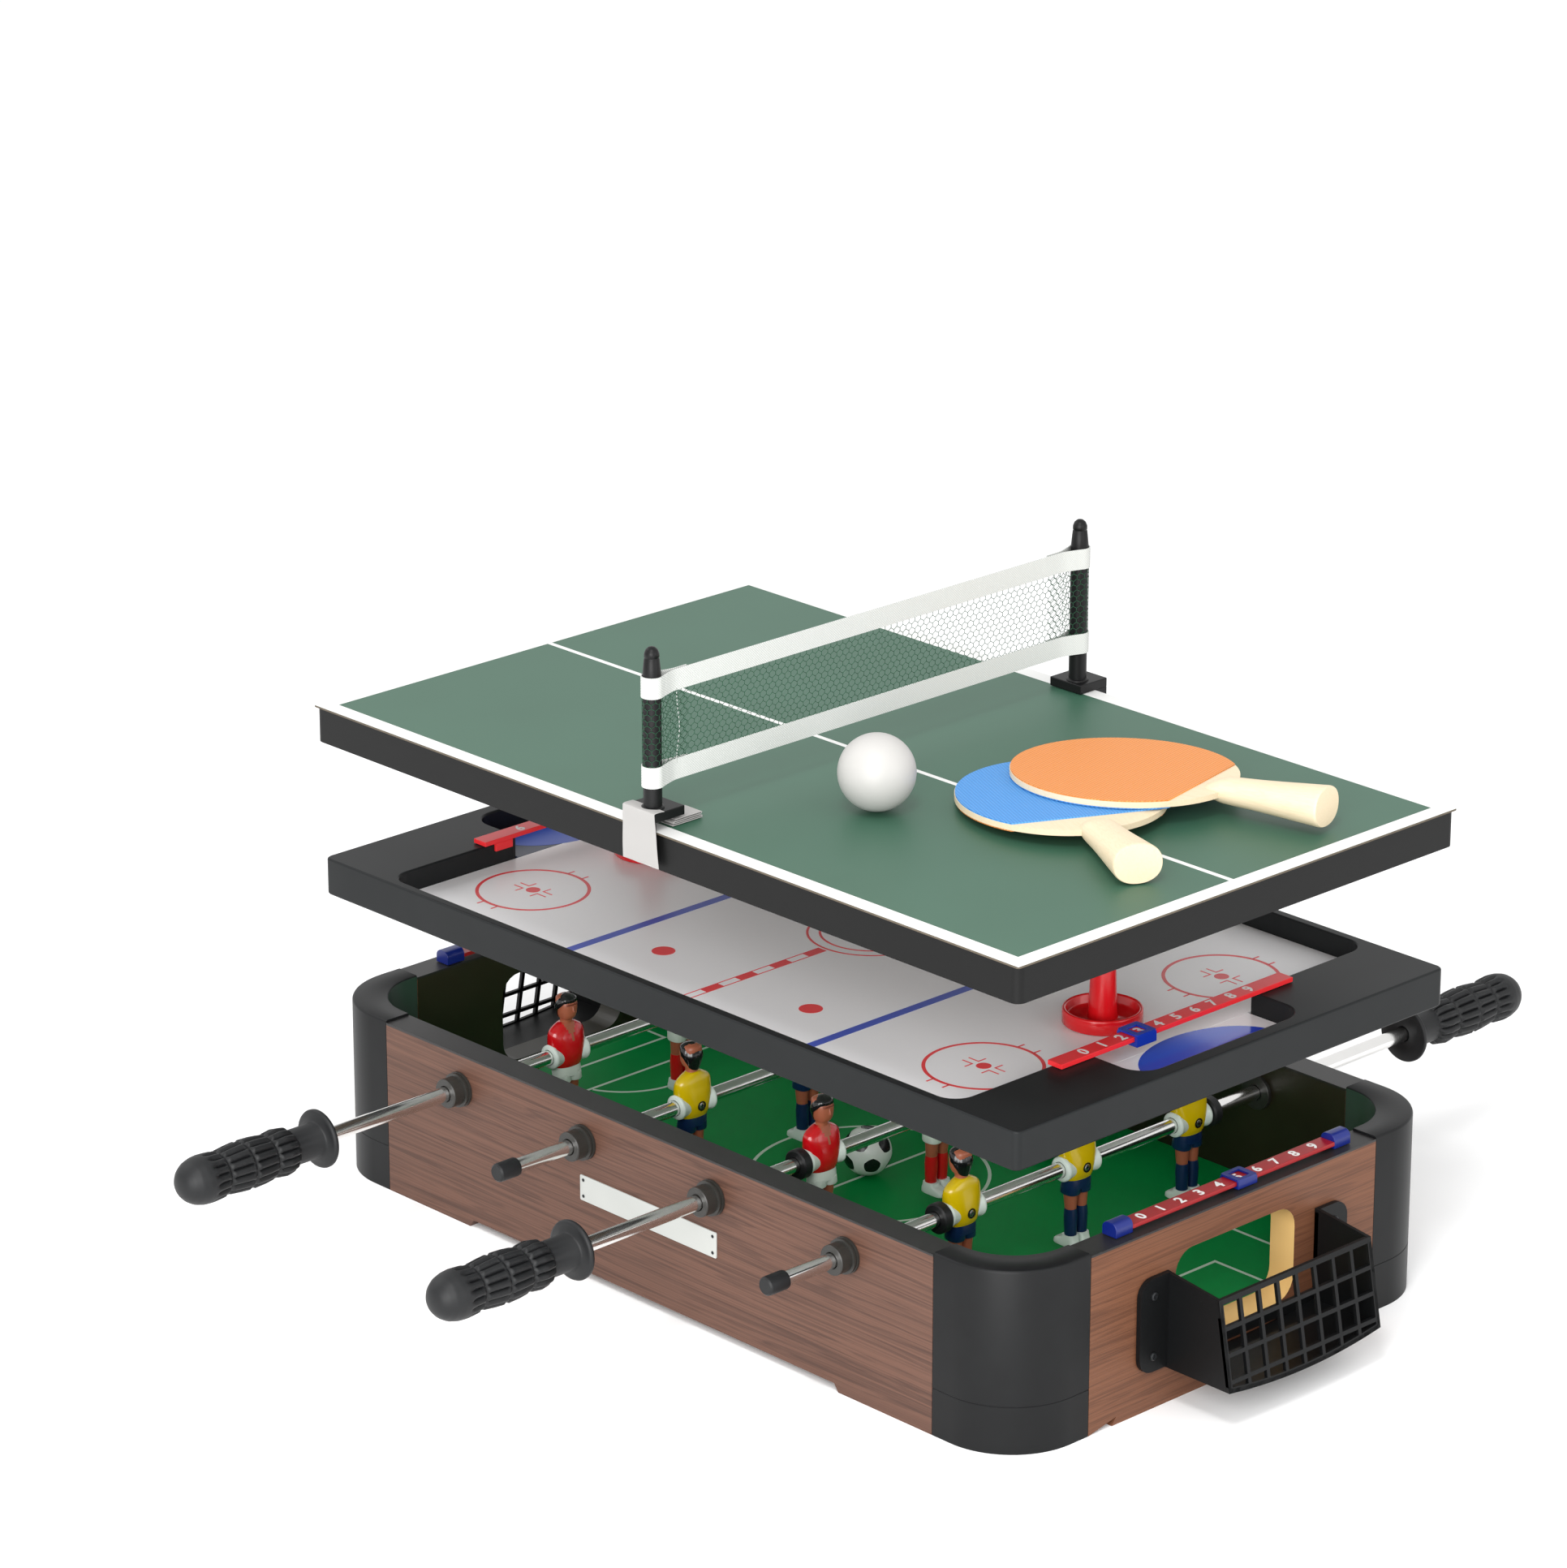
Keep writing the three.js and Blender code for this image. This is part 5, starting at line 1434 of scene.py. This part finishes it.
@dataclass(frozen=True)
class HockeyTray:
    """A moulded frame round a printed rink, with a goal pocket, a counter bar and a pusher at each end."""

    half_length: float = 258.0
    half_width: float = 155.2
    low: float = 155.1
    high: float = 175.7
    corner: float = 4.0
    rink: tuple[float, float, float] = (210.5, 149.5, 12.0)
    panel: tuple[float, float] = (159.3, 163.7)
    ledge: float = 6.0
    pocket: tuple[float, float, float, float] = (59.5, 38.5, 14.0, 163.6)
    print_shape: tuple[float, float, float, float, float] = (238.0, 6.5, 31.5, 45.5, 248.2)
    bar: tuple[float, float, float, float] = (213.85, 4.8, 84.0, 176.0)
    bar_thickness: float = 2.6
    slider_at: float = -25.7
    pushers: tuple[float, float] = (168.6, -167.0)
    pusher_y: float = -2.4
    counter: CounterBar = field(default_factory=lambda: CounterBar(-64.0, 13.3, 6.4))

    def opening(self) -> Array:
        """Return the outline of the rink's recess with both goal pockets.

        Returns:
            The outline's points.
        """
        x, y, radius = self.rink
        half, reach, bend, _ = self.pocket
        quarter = [(x, -y), (x, -half), (x + reach, -half), (x + reach, half), (x, half), (x, y)]
        corners = np.array(quarter + [(-a, -b) for a, b in quarter])
        return rounded(corners, (radius, 4, bend, bend, 4, radius) * 2, 8)

    def frame(self) -> Surface:
        """Return the frame with its ledge.

        Returns:
            The surface.
        """
        x, y, radius = self.rink
        outer = rounded(rectangle(self.half_length, self.half_width), self.corner)
        ring = pierced(outer, self.opening(), self.low, self.high)
        ledge = pierced(rounded(rectangle(x + 0.5, y + 0.5), radius), rectangle(x - self.ledge, y - self.ledge),
                        self.low + 0.05, self.low + 3.9)
        return joined(ring, ledge)

    def pocket_liner(self) -> Surface:
        """Return the right goal pocket's floor.

        Returns:
            The surface.
        """
        x = self.rink[0]
        half, reach, bend, floor = self.pocket
        outline = rounded([(x + 0.1, -half), (x + reach, -half), (x + reach, half), (x + 0.1, half)],
                          (0.1, bend, bend, 0.1), 8)
        return prism(outline, self.low + 0.1, floor)

    def markings(self) -> Surface:
        """Return the printed lines of the rink, with finish 0 red, 1 blue, and 2 and 3 the prints at the goals, 2 with
        bands of painted reflection.

        Returns:
            The surface.
        """
        low = self.panel[1] - FLAT
        edge = self.rink[1] - 0.4
        parts = [stripe([(side, -edge), (side, -35.0)], 0.8, low) for side in (-2.7, 2.7)]
        parts += [part.scaled(y=-1) for part in parts]
        starts = np.arange(-143.0, 143.0, 24.0)
        starts = starts[(starts > 22) | (starts < -45)]
        parts += [prism(rectangle(2.7, 6.0, 0, start + 6.0), low, low + FLAT * 0.98) for start in starts]
        parts += [stripe([(side, -edge), (side, edge)], 5.6, low, finish=1) for side in (-90.0, 90.0)]
        parts += [stripe(circle(33.2, sides=72), 1.3, low, closed=True),
                  stripe(circle(26.6, sides=64), 1.3, low, closed=True), prism(circle(15.0), low, low + FLAT)]
        spot = [stripe(circle(29.8, sides=72), 1.9, low, closed=True), prism(circle(3.9, sides=32), low, low + FLAT)]
        corner = stripe([(12.6, 2.2), (5.8, 2.2), (5.8, 7.4)], 0.9, low)
        tick = stripe([(5.5, 29.6), (5.5, 34.4)], 1.1, low)
        spot += [part.scaled(a, b) for part in (corner, tick) for a in (-1, 1) for b in (-1, 1)]
        whole = joined(*spot)
        parts += [whole.moved(a * 168.0, b * 86.5) for a in (-1, 1) for b in (-1, 1)]
        parts += [prism(circle(6.2, a * 55.0, b * 96.2, 32), low, low + FLAT) for a in (-1, 1) for b in (-1, 1)]
        middle, side, reach, half, end = self.print_shape
        angle = np.linspace(-1, 1, 41) * np.pi / 2
        bend = np.stack([middle - reach * np.cos(angle), side + half * np.sin(angle)], 1)
        outline = np.vstack([bend, (end, side + half), (end, side - half)])
        crease = prism(outline, low, low + FLAT)
        return joined(*parts, crease.dressed(2), crease.dressed(3).turned(2, 180))

    def counter_bar(self) -> Surface:
        """Return the right counter bar with its two locating tabs.

        Returns:
            The surface.
        """
        x, half, end, low = self.bar
        rail = box((x - half, -end, low), (x + half, end, low + self.bar_thickness))
        tab = box((x - half, 64.5, low - 4.5), (x - half + 2, 76.5, low + 0.01))
        return joined(rail, tab, tab.scaled(y=-1))

    @staticmethod
    def pusher() -> Surface:
        """Return a pusher: a round dish with a tapered post, foot at the origin.

        Returns:
            The surface.
        """
        profile = [(0, 0.6), (17.5, 0.6), (18, 0), (20.0, 0), (20.5, 0.5), (20.5, 7.3), (20.2, 7.8), (19.6, 8.0),
                   (18.9, 7.8), (18.5, 7.3), (18.5, 3.4), (17.6, 2.4), (9.0, 2.4), (7.8, 2.8), (7.4, 4.0),
                   (6.45, 28.6), (6.1, 30.4), (5.0, 31.6), (3.2, 32.0), (0, 32.0)]
        return lathe(profile, 64)

    def build(self) -> None:
        """Make the tray's pieces."""
        make_piece("tray_frame", self.frame(), (TRAY,), "hockey_tray", ("hockey_tray_frame",),
                   Edge(1.2, 3, 40))
        x, y, radius = self.rink
        panel = prism(rounded(rectangle(x - GAP, y - GAP), radius, 8), self.panel[0], self.panel[1] - FLAT)
        make_piece("rink", panel, (RINK,), "hockey_tray", ("rink_panel",))
        make_piece("rink_lines", self.markings(), (RINK_RED, RINK_BLUE, CREASE, BRIGHT), "hockey_tray")
        bar_x, half, _, bar_low = self.bar
        for side, turn in (("right", 0), ("left", 180)):
            # The left pocket's floor is navy as painted shade; the right one is white like the rink.
            make_piece(f"{side}_pocket_floor", self.pocket_liner().turned(2, turn), (NAVY_AND_POCKET_SHADE if turn else RINK,),
                       "hockey_tray")
            make_piece(f"{side}_rink_bar", self.counter_bar().turned(2, turn), (RINK_COUNTER,), "hockey_tray",
                       (f"{side}_rink_counter",), Edge(0.3))
            top = bar_low + self.bar_thickness
            digits = self.counter.digits(bar_x, top, 0).turned(2, turn)
            make_piece(f"{side}_rink_digits", digits, (DIGIT,), "hockey_tray")
            sleeve = CounterBar.sleeve(13.8, 173.6, 180.0, (half, bar_low, top)).moved(bar_x, self.slider_at)
            make_piece(f"{side}_rink_sleeve", sleeve.turned(2, turn), (RINK_SLIDER,), f"{side}_rink_count",
                       (f"{side}_rink_slider",), Edge(0.3))
        for side, place in zip(("right", "left"), self.pushers):
            pusher = self.pusher().moved(place, self.pusher_y, self.panel[1] + GAP)
            make_piece(f"{side}_round_pusher", pusher, (PUSHER,), f"{side}_push", (f"{side}_pusher",),
                       Edge(sharp=50))


# The tennis top -----------------------------------------------------------------------------------------------------


@dataclass(frozen=True)
class Net:
    """The net: two tapes looped round the posts, with a hexagon mesh between them and a stitched seam by the front
    post.
    """

    post_y: float = 152.8
    loop: float = 5.35
    low: float = 283.0
    high: float = 341.0
    tape: float = 11.0
    tail: float = 24.0
    cell: float = 4.3
    rise: float = 3.0
    thread: float = 0.17
    stitch: float = 0.26

    def path(self) -> Array:
        """Return the run of a tape in plan, from its near tail round both posts to its far tail.

        Returns:
            The run's points in X and Y.
        """
        bend = arc(self.loop, 25, -205, 0, -self.post_y, 36)
        start = smoothed([(0.9, self.tail - self.post_y), (1.1, 14 - self.post_y), (3.2, 6.6 - self.post_y),
                          bend[0]], 8)
        run = smoothed([bend[-1], (-3.2, 6.6 - self.post_y), (-1.1, 14 - self.post_y),
                        (-0.9, self.tail - self.post_y)], 8)
        half = np.vstack([start[:-1], bend, run[1:]])
        far = half[::-1] * (1, -1)
        return np.vstack([half, np.linspace(half[-1], far[0], 40)[1:-1], far]) * (-1, 1)

    def ribbon(self, low: float) -> tuple[Surface, float]:
        """Return a tape at a height, with the length that it was cut to.

        Args:
            low: The height of its lower edge.

        Returns:
            The tape and its length.
        """
        path = self.path()
        step = np.gradient(path, axis=0)
        side = np.stack([-step[:, 1], step[:, 0]], 1) / np.linalg.norm(step, axis=1, keepdims=True) * 0.3
        edges = ((path + side, low), (path - side, low), (path - side, low + self.tape),
                 (path + side, low + self.tape))
        rows = np.stack([np.insert(edge, 2, at, axis=1) for edge, at in edges], 1)
        return skin(rows, ends=0), float(np.linalg.norm(np.diff(path, axis=0), axis=1).sum())

    def mesh(self) -> Surface:
        """Return the hexagon mesh, which follows the tapes' run.

        Returns:
            The surface.
        """
        path = self.path() * (0.9, 1)
        along = np.concatenate([[0], np.cumsum(np.linalg.norm(np.diff(path, axis=0), axis=1))])
        pitch, rise = self.cell, self.rise
        columns = np.arange(0, along[-1] - pitch, pitch)
        rows = np.arange(self.low + self.tape - 2, self.high - self.tape + 2, rise)
        u, v = np.meshgrid(columns, rows)
        u = u + (np.arange(len(rows)) % 2)[:, None] * pitch / 2
        start = np.stack([u, v], -1).reshape(-1, 2)
        upper = start + (0, rise * 0.57)
        ends = [(start, upper), *((upper, upper + (side * pitch / 2, rise * 0.43)) for side in (1, -1))]
        flat = np.stack([np.vstack([pair[0] for pair in ends]), np.vstack([pair[1] for pair in ends])])
        inside = (flat[..., 0].min(0) >= 0) & (flat[..., 0].max(0) <= along[-1])
        flat = flat[:, inside]
        places = [np.stack([np.interp(side[:, 0], along, path[:, 0]), np.interp(side[:, 0], along, path[:, 1]),
                            side[:, 1]], 1) for side in flat]
        return strands(places[0], places[1], self.thread)

    def seam(self) -> Surface:
        """Return the stitches beside the front post, along a curve by distance from the post and height.

        Returns:
            The surface.
        """
        curve = smoothed([(15.0, self.low + 9), (15.2, 298), (16.9, 310), (15.6, 322), (14.9, self.high - 9)], 10)
        line = np.stack([1.5 + 0 * curve[:, 0], curve[:, 0] - self.post_y, curve[:, 1]], 1)
        return strands(line[:-1:2], line[1::2], self.stitch)

    def build(self, body: str) -> None:
        """Make the net's pieces.

        Args:
            body: The body that they move with.
        """
        mesh = make_piece("net_mesh", self.mesh(), (NET_THREAD,), body, edge=Edge(sharp=180))
        top, length = self.ribbon(self.high - self.tape)
        upper = make_piece("net_upper_tape", top, (TAPE,), body, ("net",))
        lower = make_piece("net_lower_tape", self.ribbon(self.low)[0], (TAPE,), body)
        make_piece("net_seam", self.seam(), (TAPE,), body, edge=Edge(sharp=180))


@dataclass(frozen=True)
class Bat:
    """A bat: round beech blade, rubber cut straight before the neck on both sides, and a flared grip along +X."""

    rubber_end: float = 43.0
    blade: tuple[float, float] = (60.0, 53.0)
    wood: float = 3.0
    rubber: float = 0.7
    end: float = 115.0
    grip_half: float = 10.4
    grip: tuple = ((47.2, 1.4, 3.4), (48.6, 2.4, 5.6), (52.0, 4.2, 8.0), (57.0, 5.9, 9.4), (62.0, 6.6, 9.8),
                   (75.0, 7.3, 10.3), (88.0, 8.2, 11.2), (100.0, 9.2, 12.1), (109.0, 9.9, 12.7), (113.6, 10.3, 12.9),
                   (115.0, 9.9, 12.5))

    def round_part(self, inset: float) -> Array:
        """Return the rubber's outline: the blade's curve with a straight cut towards the grip.

        Args:
            inset: How far it stays inside the blade's edge.

        Returns:
            The outline's points.
        """
        x, y = (half - inset for half in self.blade)
        start = math.acos(self.rubber_end / x)
        angle = np.linspace(start, 2 * np.pi - start, 97)
        return np.stack([x * np.cos(angle), y * np.sin(angle)], 1)

    def build(self) -> Surface:
        """Return the bat with finish 0 beech, 1 the upper and 2 the lower rubber.

        Returns:
            The surface.
        """
        wood = prism(circle(1.0, sides=120) * self.blade, -self.wood / 2, self.wood / 2)
        sheet = prism(self.round_part(0.35), self.wood / 2, self.wood / 2 + self.rubber, finish=1)
        grip = smoothed(np.array(self.grip), 3)
        body = loft(np.stack([grip[:, 0], 0 * grip[:, 0], grip[:, 1], grip[:, 2]], 1), 48, (0,) * 30, 2.2)
        return joined(wood, sheet, sheet.scaled(z=-1).dressed(2), body.turned(1, 90))


@dataclass(frozen=True)
class TennisTop:
    """A painted board over a black skirt, with posts, net, ball and two bats."""

    half_length: float = 260.0
    half_width: float = 158.0
    low: float = 241.8
    board: tuple[float, float] = (258.1, 261.7)
    shown_edge: float = 1.1
    border: float = 9.35
    centre_line: float = 3.0
    skirt: tuple[float, float] = (0.6, 10.0)
    post: tuple[float, float, float] = (152.8, 4.8, 356.1)
    foot: tuple[float, float, float, float] = (-13.55, 8.95, 7.0, 13.5)
    foot_height: float = 5.0
    foot_levels: tuple[float, float] = (266.7, 262.0)
    lip: tuple[float, float] = (158.5, 249.7)
    strip_low: float = 243.6
    strip_narrow: float = 12.3
    strip_width: float = 25.0
    fold_width: float = 12.7
    ball: tuple[float, float, float] = (60.7, -56.0, 20.0)
    lower_bat: tuple[float, float, float] = (121.5, 14.2, -27.0)
    upper_bat: tuple[float, float, float] = (126.5, 55.4, 14.3)

    def boards(self) -> None:
        """Make the board, its lines and the skirt."""
        low, high = self.board
        x, y = self.half_length, self.half_width
        step = high - self.shown_edge
        outline = rounded(rectangle(x, y), 1.5, 3)
        rows = np.stack([np.insert(outline, 2, at, axis=1) for at in (step, high - FLAT)])
        panel = joined(skin(rows, finish=1, ends=0), prism(rectangle(x - 11, y - 11), low, step - 0.02, finish=1))
        make_piece("playing_board", panel, (TOP_GREEN, TOP_EDGE), "tennis_top", ("tennis_board",))
        edge = self.border / 2
        lines = joined(stripe(rectangle(x - edge - 0.05, y - edge - 0.05), self.border, high - FLAT, closed=True),
                       stripe([(self.border - x, 0), (x - self.border, 0)], self.centre_line, high - FLAT))
        make_piece("board_lines", lines, (TOP_WHITE,), "tennis_top")
        inset, depth = self.skirt
        outer = rounded(rectangle(x - inset, y - inset), 5.0, 8)
        inner = rectangle(x - inset - depth, y - inset - depth)
        make_piece("black_skirt", pierced(outer, inner, self.low, step - 0.1), (SKIRT,), "tennis_top",
                   ("tennis_skirt",), Edge(0.5))

    def net_post(self, side: int, low: float) -> Surface:
        """Return a post: tapered rod, thin foot plate and the lip over the board's edge.

        Args:
            side: -1 for the front post, 1 for the back one.
            low: The underside of its foot.

        Returns:
            The post in its place.
        """
        y, radius, tip = self.post
        left, right, front, back = self.foot
        high, middle = low + self.foot_height, side * y
        rod = lathe([(0, high - 3), (radius, high - 3), (radius - 0.1, tip - 14), (radius - 0.9, tip - 6.2),
                     (radius - 1.2, tip - 5.9), (radius - 1.2, tip - 5.5), (radius - 0.9, tip - 5.2),
                     (radius - 1.0, tip - 3.4), (radius - 1.8, tip - 1.5), (radius - 3.2, tip - 0.3), (0, tip)], 40)
        plate = box((left, middle - front, low), (right, middle + back, high))
        lip_start, lip_low = self.lip
        edges = sorted((side * lip_start, middle + back if side > 0 else middle - front))
        lip = box((left, edges[0], lip_low), (right, edges[1], low + GAP))
        ring = [(radius, high - 1), (radius + 1.3, high - 1), (radius + 1.1, high + 0.7), (radius, high + 1.1)]
        collar = lathe(ring, 40)
        return joined(rod.moved(y=middle), plate, lip, collar.moved(y=middle))

    def cloths(self) -> None:
        """Make the white strip that hangs over the front foot, and the folds under it."""
        left, right, front, back = self.foot
        high, edge = self.foot_levels[0] + self.foot_height, -self.post[0] - front
        run = smoothed([(edge + 6.4, high + 0.2), (edge + 3.2, high + 0.45), (edge + 0.3, high + 0.3),
                        (edge - 0.5, high - 1.0), (edge - 0.45, 262), (edge - 0.7, 252),
                        (edge - 0.5, self.strip_low)], 6)
        share = np.linspace(0, 1, 14)
        ends = np.interp(run[:, 1], (self.strip_low, high), (self.strip_narrow, right + 0.3))
        across = left - 0.4 + (ends[:, None] - left + 0.4) * share
        wave = 0.2 * np.sin(across * 0.55)
        sheet = np.stack([across, run[:, :1] - np.abs(wave) * 0.5, run[:, 1:] + wave * 0.3], -1)
        self.cloth("cloth_strip", sheet, (self.strip_width, run), "draped", ("front_post",))
        inner, outer = -self.post[0] + back - 8.0, -self.post[0] + back + 11.6
        fold = np.array([(inner, 262.35), (outer - 1.0, 262.35), (outer, 262.75), (outer - 0.8, 263.2),
                         (inner + 2.0, 263.3), (inner + 1.2, 263.75), (inner + 2.0, 264.15), (outer - 1.4, 264.3),
                         (outer - 0.2, 264.75), (outer - 1.0, 265.2), (inner + 2.0, 265.3)])
        line = smoothed(fold, 3)
        across = np.linspace(-4.0, right - 0.3, 8)
        folds = np.stack([across + 0 * line[:, :1], line[:, :1] + 0 * across, line[:, 1:] + 0 * across], -1)
        self.cloth("cloth_folds", folds, (self.fold_width, line), "folded", ("playing_board",))

    @staticmethod
    def cloth(name: str, sheet: Array, cut: tuple[float, Array], held: str, rests_on: tuple[str, ...]) -> None:
        """Args:
            name: The piece's name.
            sheet: The grid of points of one side.
            cut: The width, and the run that gives the length; not used.
            held: How it is held; not used.
            rests_on: What it lies on; not used.
        """
        along, across = np.gradient(sheet, axis=0), np.gradient(sheet, axis=1)
        normal = np.cross(along, across)
        normal /= np.linalg.norm(normal, axis=-1, keepdims=True)
        front, back = sheet + normal * 0.12, sheet - normal * 0.12
        rows = np.concatenate([front, back[:, ::-1]], 1)
        piece = make_piece(name, skin(rows, ends=0), (CLOTH,), "tennis_top", edge=Edge(sharp=70))

    def bats(self) -> None:
        """Make the two bats: the lower one rests on blade and grip, the upper one on the lower blade."""
        bat = Bat()
        half = bat.wood / 2 + bat.rubber
        span = bat.end + bat.blade[0]
        tilt = math.degrees(math.atan2(bat.grip_half - half, span))
        lift = self.board[1] + GAP + half + (bat.grip_half - half) * bat.blade[0] / span
        x, y, turn = self.lower_bat
        upper_x, upper_y, upper_turn = self.upper_bat
        finishes = ((BEECH, BLUE_RUBBER, ORANGE_RUBBER),
                    (BEECH_UPPER, ORANGE_RUBBER, replace(BLUE_RUBBER, name="blue rubber below")))
        lower = Bat(39.5).build().turned(1, -tilt).turned(2, turn).moved(x, y, lift)
        angle = math.radians(-turn)
        away_x, away_y = upper_x - x, upper_y - y
        upper = Bat(44.5).build().turned(2, upper_turn - turn).moved(
            away_x * math.cos(angle) - away_y * math.sin(angle), away_x * math.sin(angle) + away_y * math.cos(angle),
            2 * half + GAP).turned(1, -tilt).turned(2, turn).moved(x, y, lift)
        for name, part, body, paint in (("lower", lower, "bat_below", finishes[0]),
                                        ("upper", upper, "bat_above", finishes[1])):
            make_piece(f"{name}_table_bat", part, paint, body, (f"{name}_bat",), Edge(0.2, sharp=50))

    def build(self) -> None:
        """Make the top's pieces."""
        self.boards()
        for place, side, low in zip(("front", "back"), (-1, 1), self.foot_levels):
            make_piece(f"{place}_post", self.net_post(side, low), (POST,), "tennis_top",
                       (f"{place}_net_post",), Edge(0.5, 3, 50))
        Net().build("tennis_top")
        self.cloths()
        x, y, radius = self.ball
        angle = np.linspace(0, np.pi, 41)
        ball = lathe(np.stack([radius * np.sin(angle), -radius * np.cos(angle)], 1), 64)
        make_piece("white_ball", ball.moved(x, y, self.board[1] + GAP + radius), (BALL,), "loose_tennis_ball",
                   ("tennis_ball",))
        self.bats()


# The studio ---------------------------------------------------------------------------------------------------------


@dataclass(frozen=True)
class Studio:
    """A pale floor, a white surround, soft lamps and the camera of the photograph."""

    eye: tuple[float, float, float] = (2094.1, -2054.7, 1305.2)
    turn: tuple[float, float, float] = (70.143, 0.0, 46.434)
    lens: float = 138.66
    lamps: tuple = (((700, -900, 2100), (0, 0, 120), 500.0, 13.0), ((1900, 300, 800), (100, 0, 100), 1200.0, 6.0),
                    ((-1400, -700, 1500), (0, 0, 150), 1300.0, 6.0), ((1200, -1700, 820), (0, 0, 180), 1600.0, 42.0))

    def lamp(self, number: int, place: tuple, aim: tuple, size: float, power: float) -> None:
        """Hang one soft lamp that looks at a point.

        Args:
            number: Its number.
            place: Where it hangs.
            aim: Where it looks.
            size: Its width.
            power: Its power in watts.
        """
        light = bpy.data.lights.new(f"lamp_{number}", "AREA")
        light.shape, light.size, light.energy = "DISK", size * MM, power
        lamp = bpy.data.objects.new(light.name, light)
        start, end = (np.array(point) * MM for point in (place, aim))
        away = start - end
        lamp.location = start
        lamp.rotation_euler = (math.atan2(math.hypot(*away[:2]), away[2]), 0.0, math.atan2(away[0], -away[1]))
        bpy.context.scene.collection.objects.link(lamp)

    def build(self) -> None:
        """Make the floor, the light and the camera."""
        scene = bpy.context.scene
        scene.view_settings.view_transform = "Standard"
        world = bpy.data.worlds.new("white surround")
        scene.world = world
        world.use_nodes = True
        tree = world.node_tree
        tree.nodes.clear()
        surround = add_node(tree, "ShaderNodeBackground", {"Color": linear("#ffffff"), "Strength": 1.0})
        add_node(tree, "ShaderNodeOutputWorld", {}, {"Surface": surround.outputs[0]})
        paper = Finish("white paper", "#fcfcfc", "#f8f8f8", 0.9, Pattern.EVEN)
        mesh = bpy.data.meshes.new("floor")
        mesh.from_pydata([(x * 30, y * 30, 0) for x, y in ((-1, -1), (1, -1), (1, 1), (-1, 1))], [], [(0, 1, 2, 3)])
        mesh.materials.append(Paint.of(paper))
        floor = bpy.data.objects.new("floor", mesh)
        scene.collection.objects.link(floor)
        for number, lamp in enumerate(self.lamps, 1):
            self.lamp(number, *lamp)
        camera = bpy.data.cameras.new("camera")
        camera.lens, camera.sensor_width = self.lens, 36.0
        camera.clip_start, camera.clip_end = 0.1, 60.0
        seat = bpy.data.objects.new("camera", camera)
        seat.location = np.array(self.eye) * MM
        seat.rotation_euler = [math.radians(angle) for angle in self.turn]
        scene.collection.objects.link(seat)
        scene.camera = seat


def build_table() -> None:
    """Make every piece of the games table."""
    base, bumper = FootballBase(), 99.1
    base.build()
    first, second, third, fourth = base.rods
    for rod in (Rod(1, first, -1.0, -1, RED_TEAM, bumper), Rod(2, second, 1.0, 1, YELLOW_TEAM, bumper),
                Rod(3, third, 1.0, -1, RED_TEAM, -bumper, bumper),
                Rod(4, fourth, 5.0, 1, YELLOW_TEAM, -bumper, bumper)):
        rod.build()
    Football().build()
    HockeyTray().build()
    TennisTop().build()


def main() -> None:
    """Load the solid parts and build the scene."""
    logging.basicConfig(level=logging.INFO, format="%(message)s")
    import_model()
    build_table()
    Studio().build()


if __name__ == "__main__":
    main()
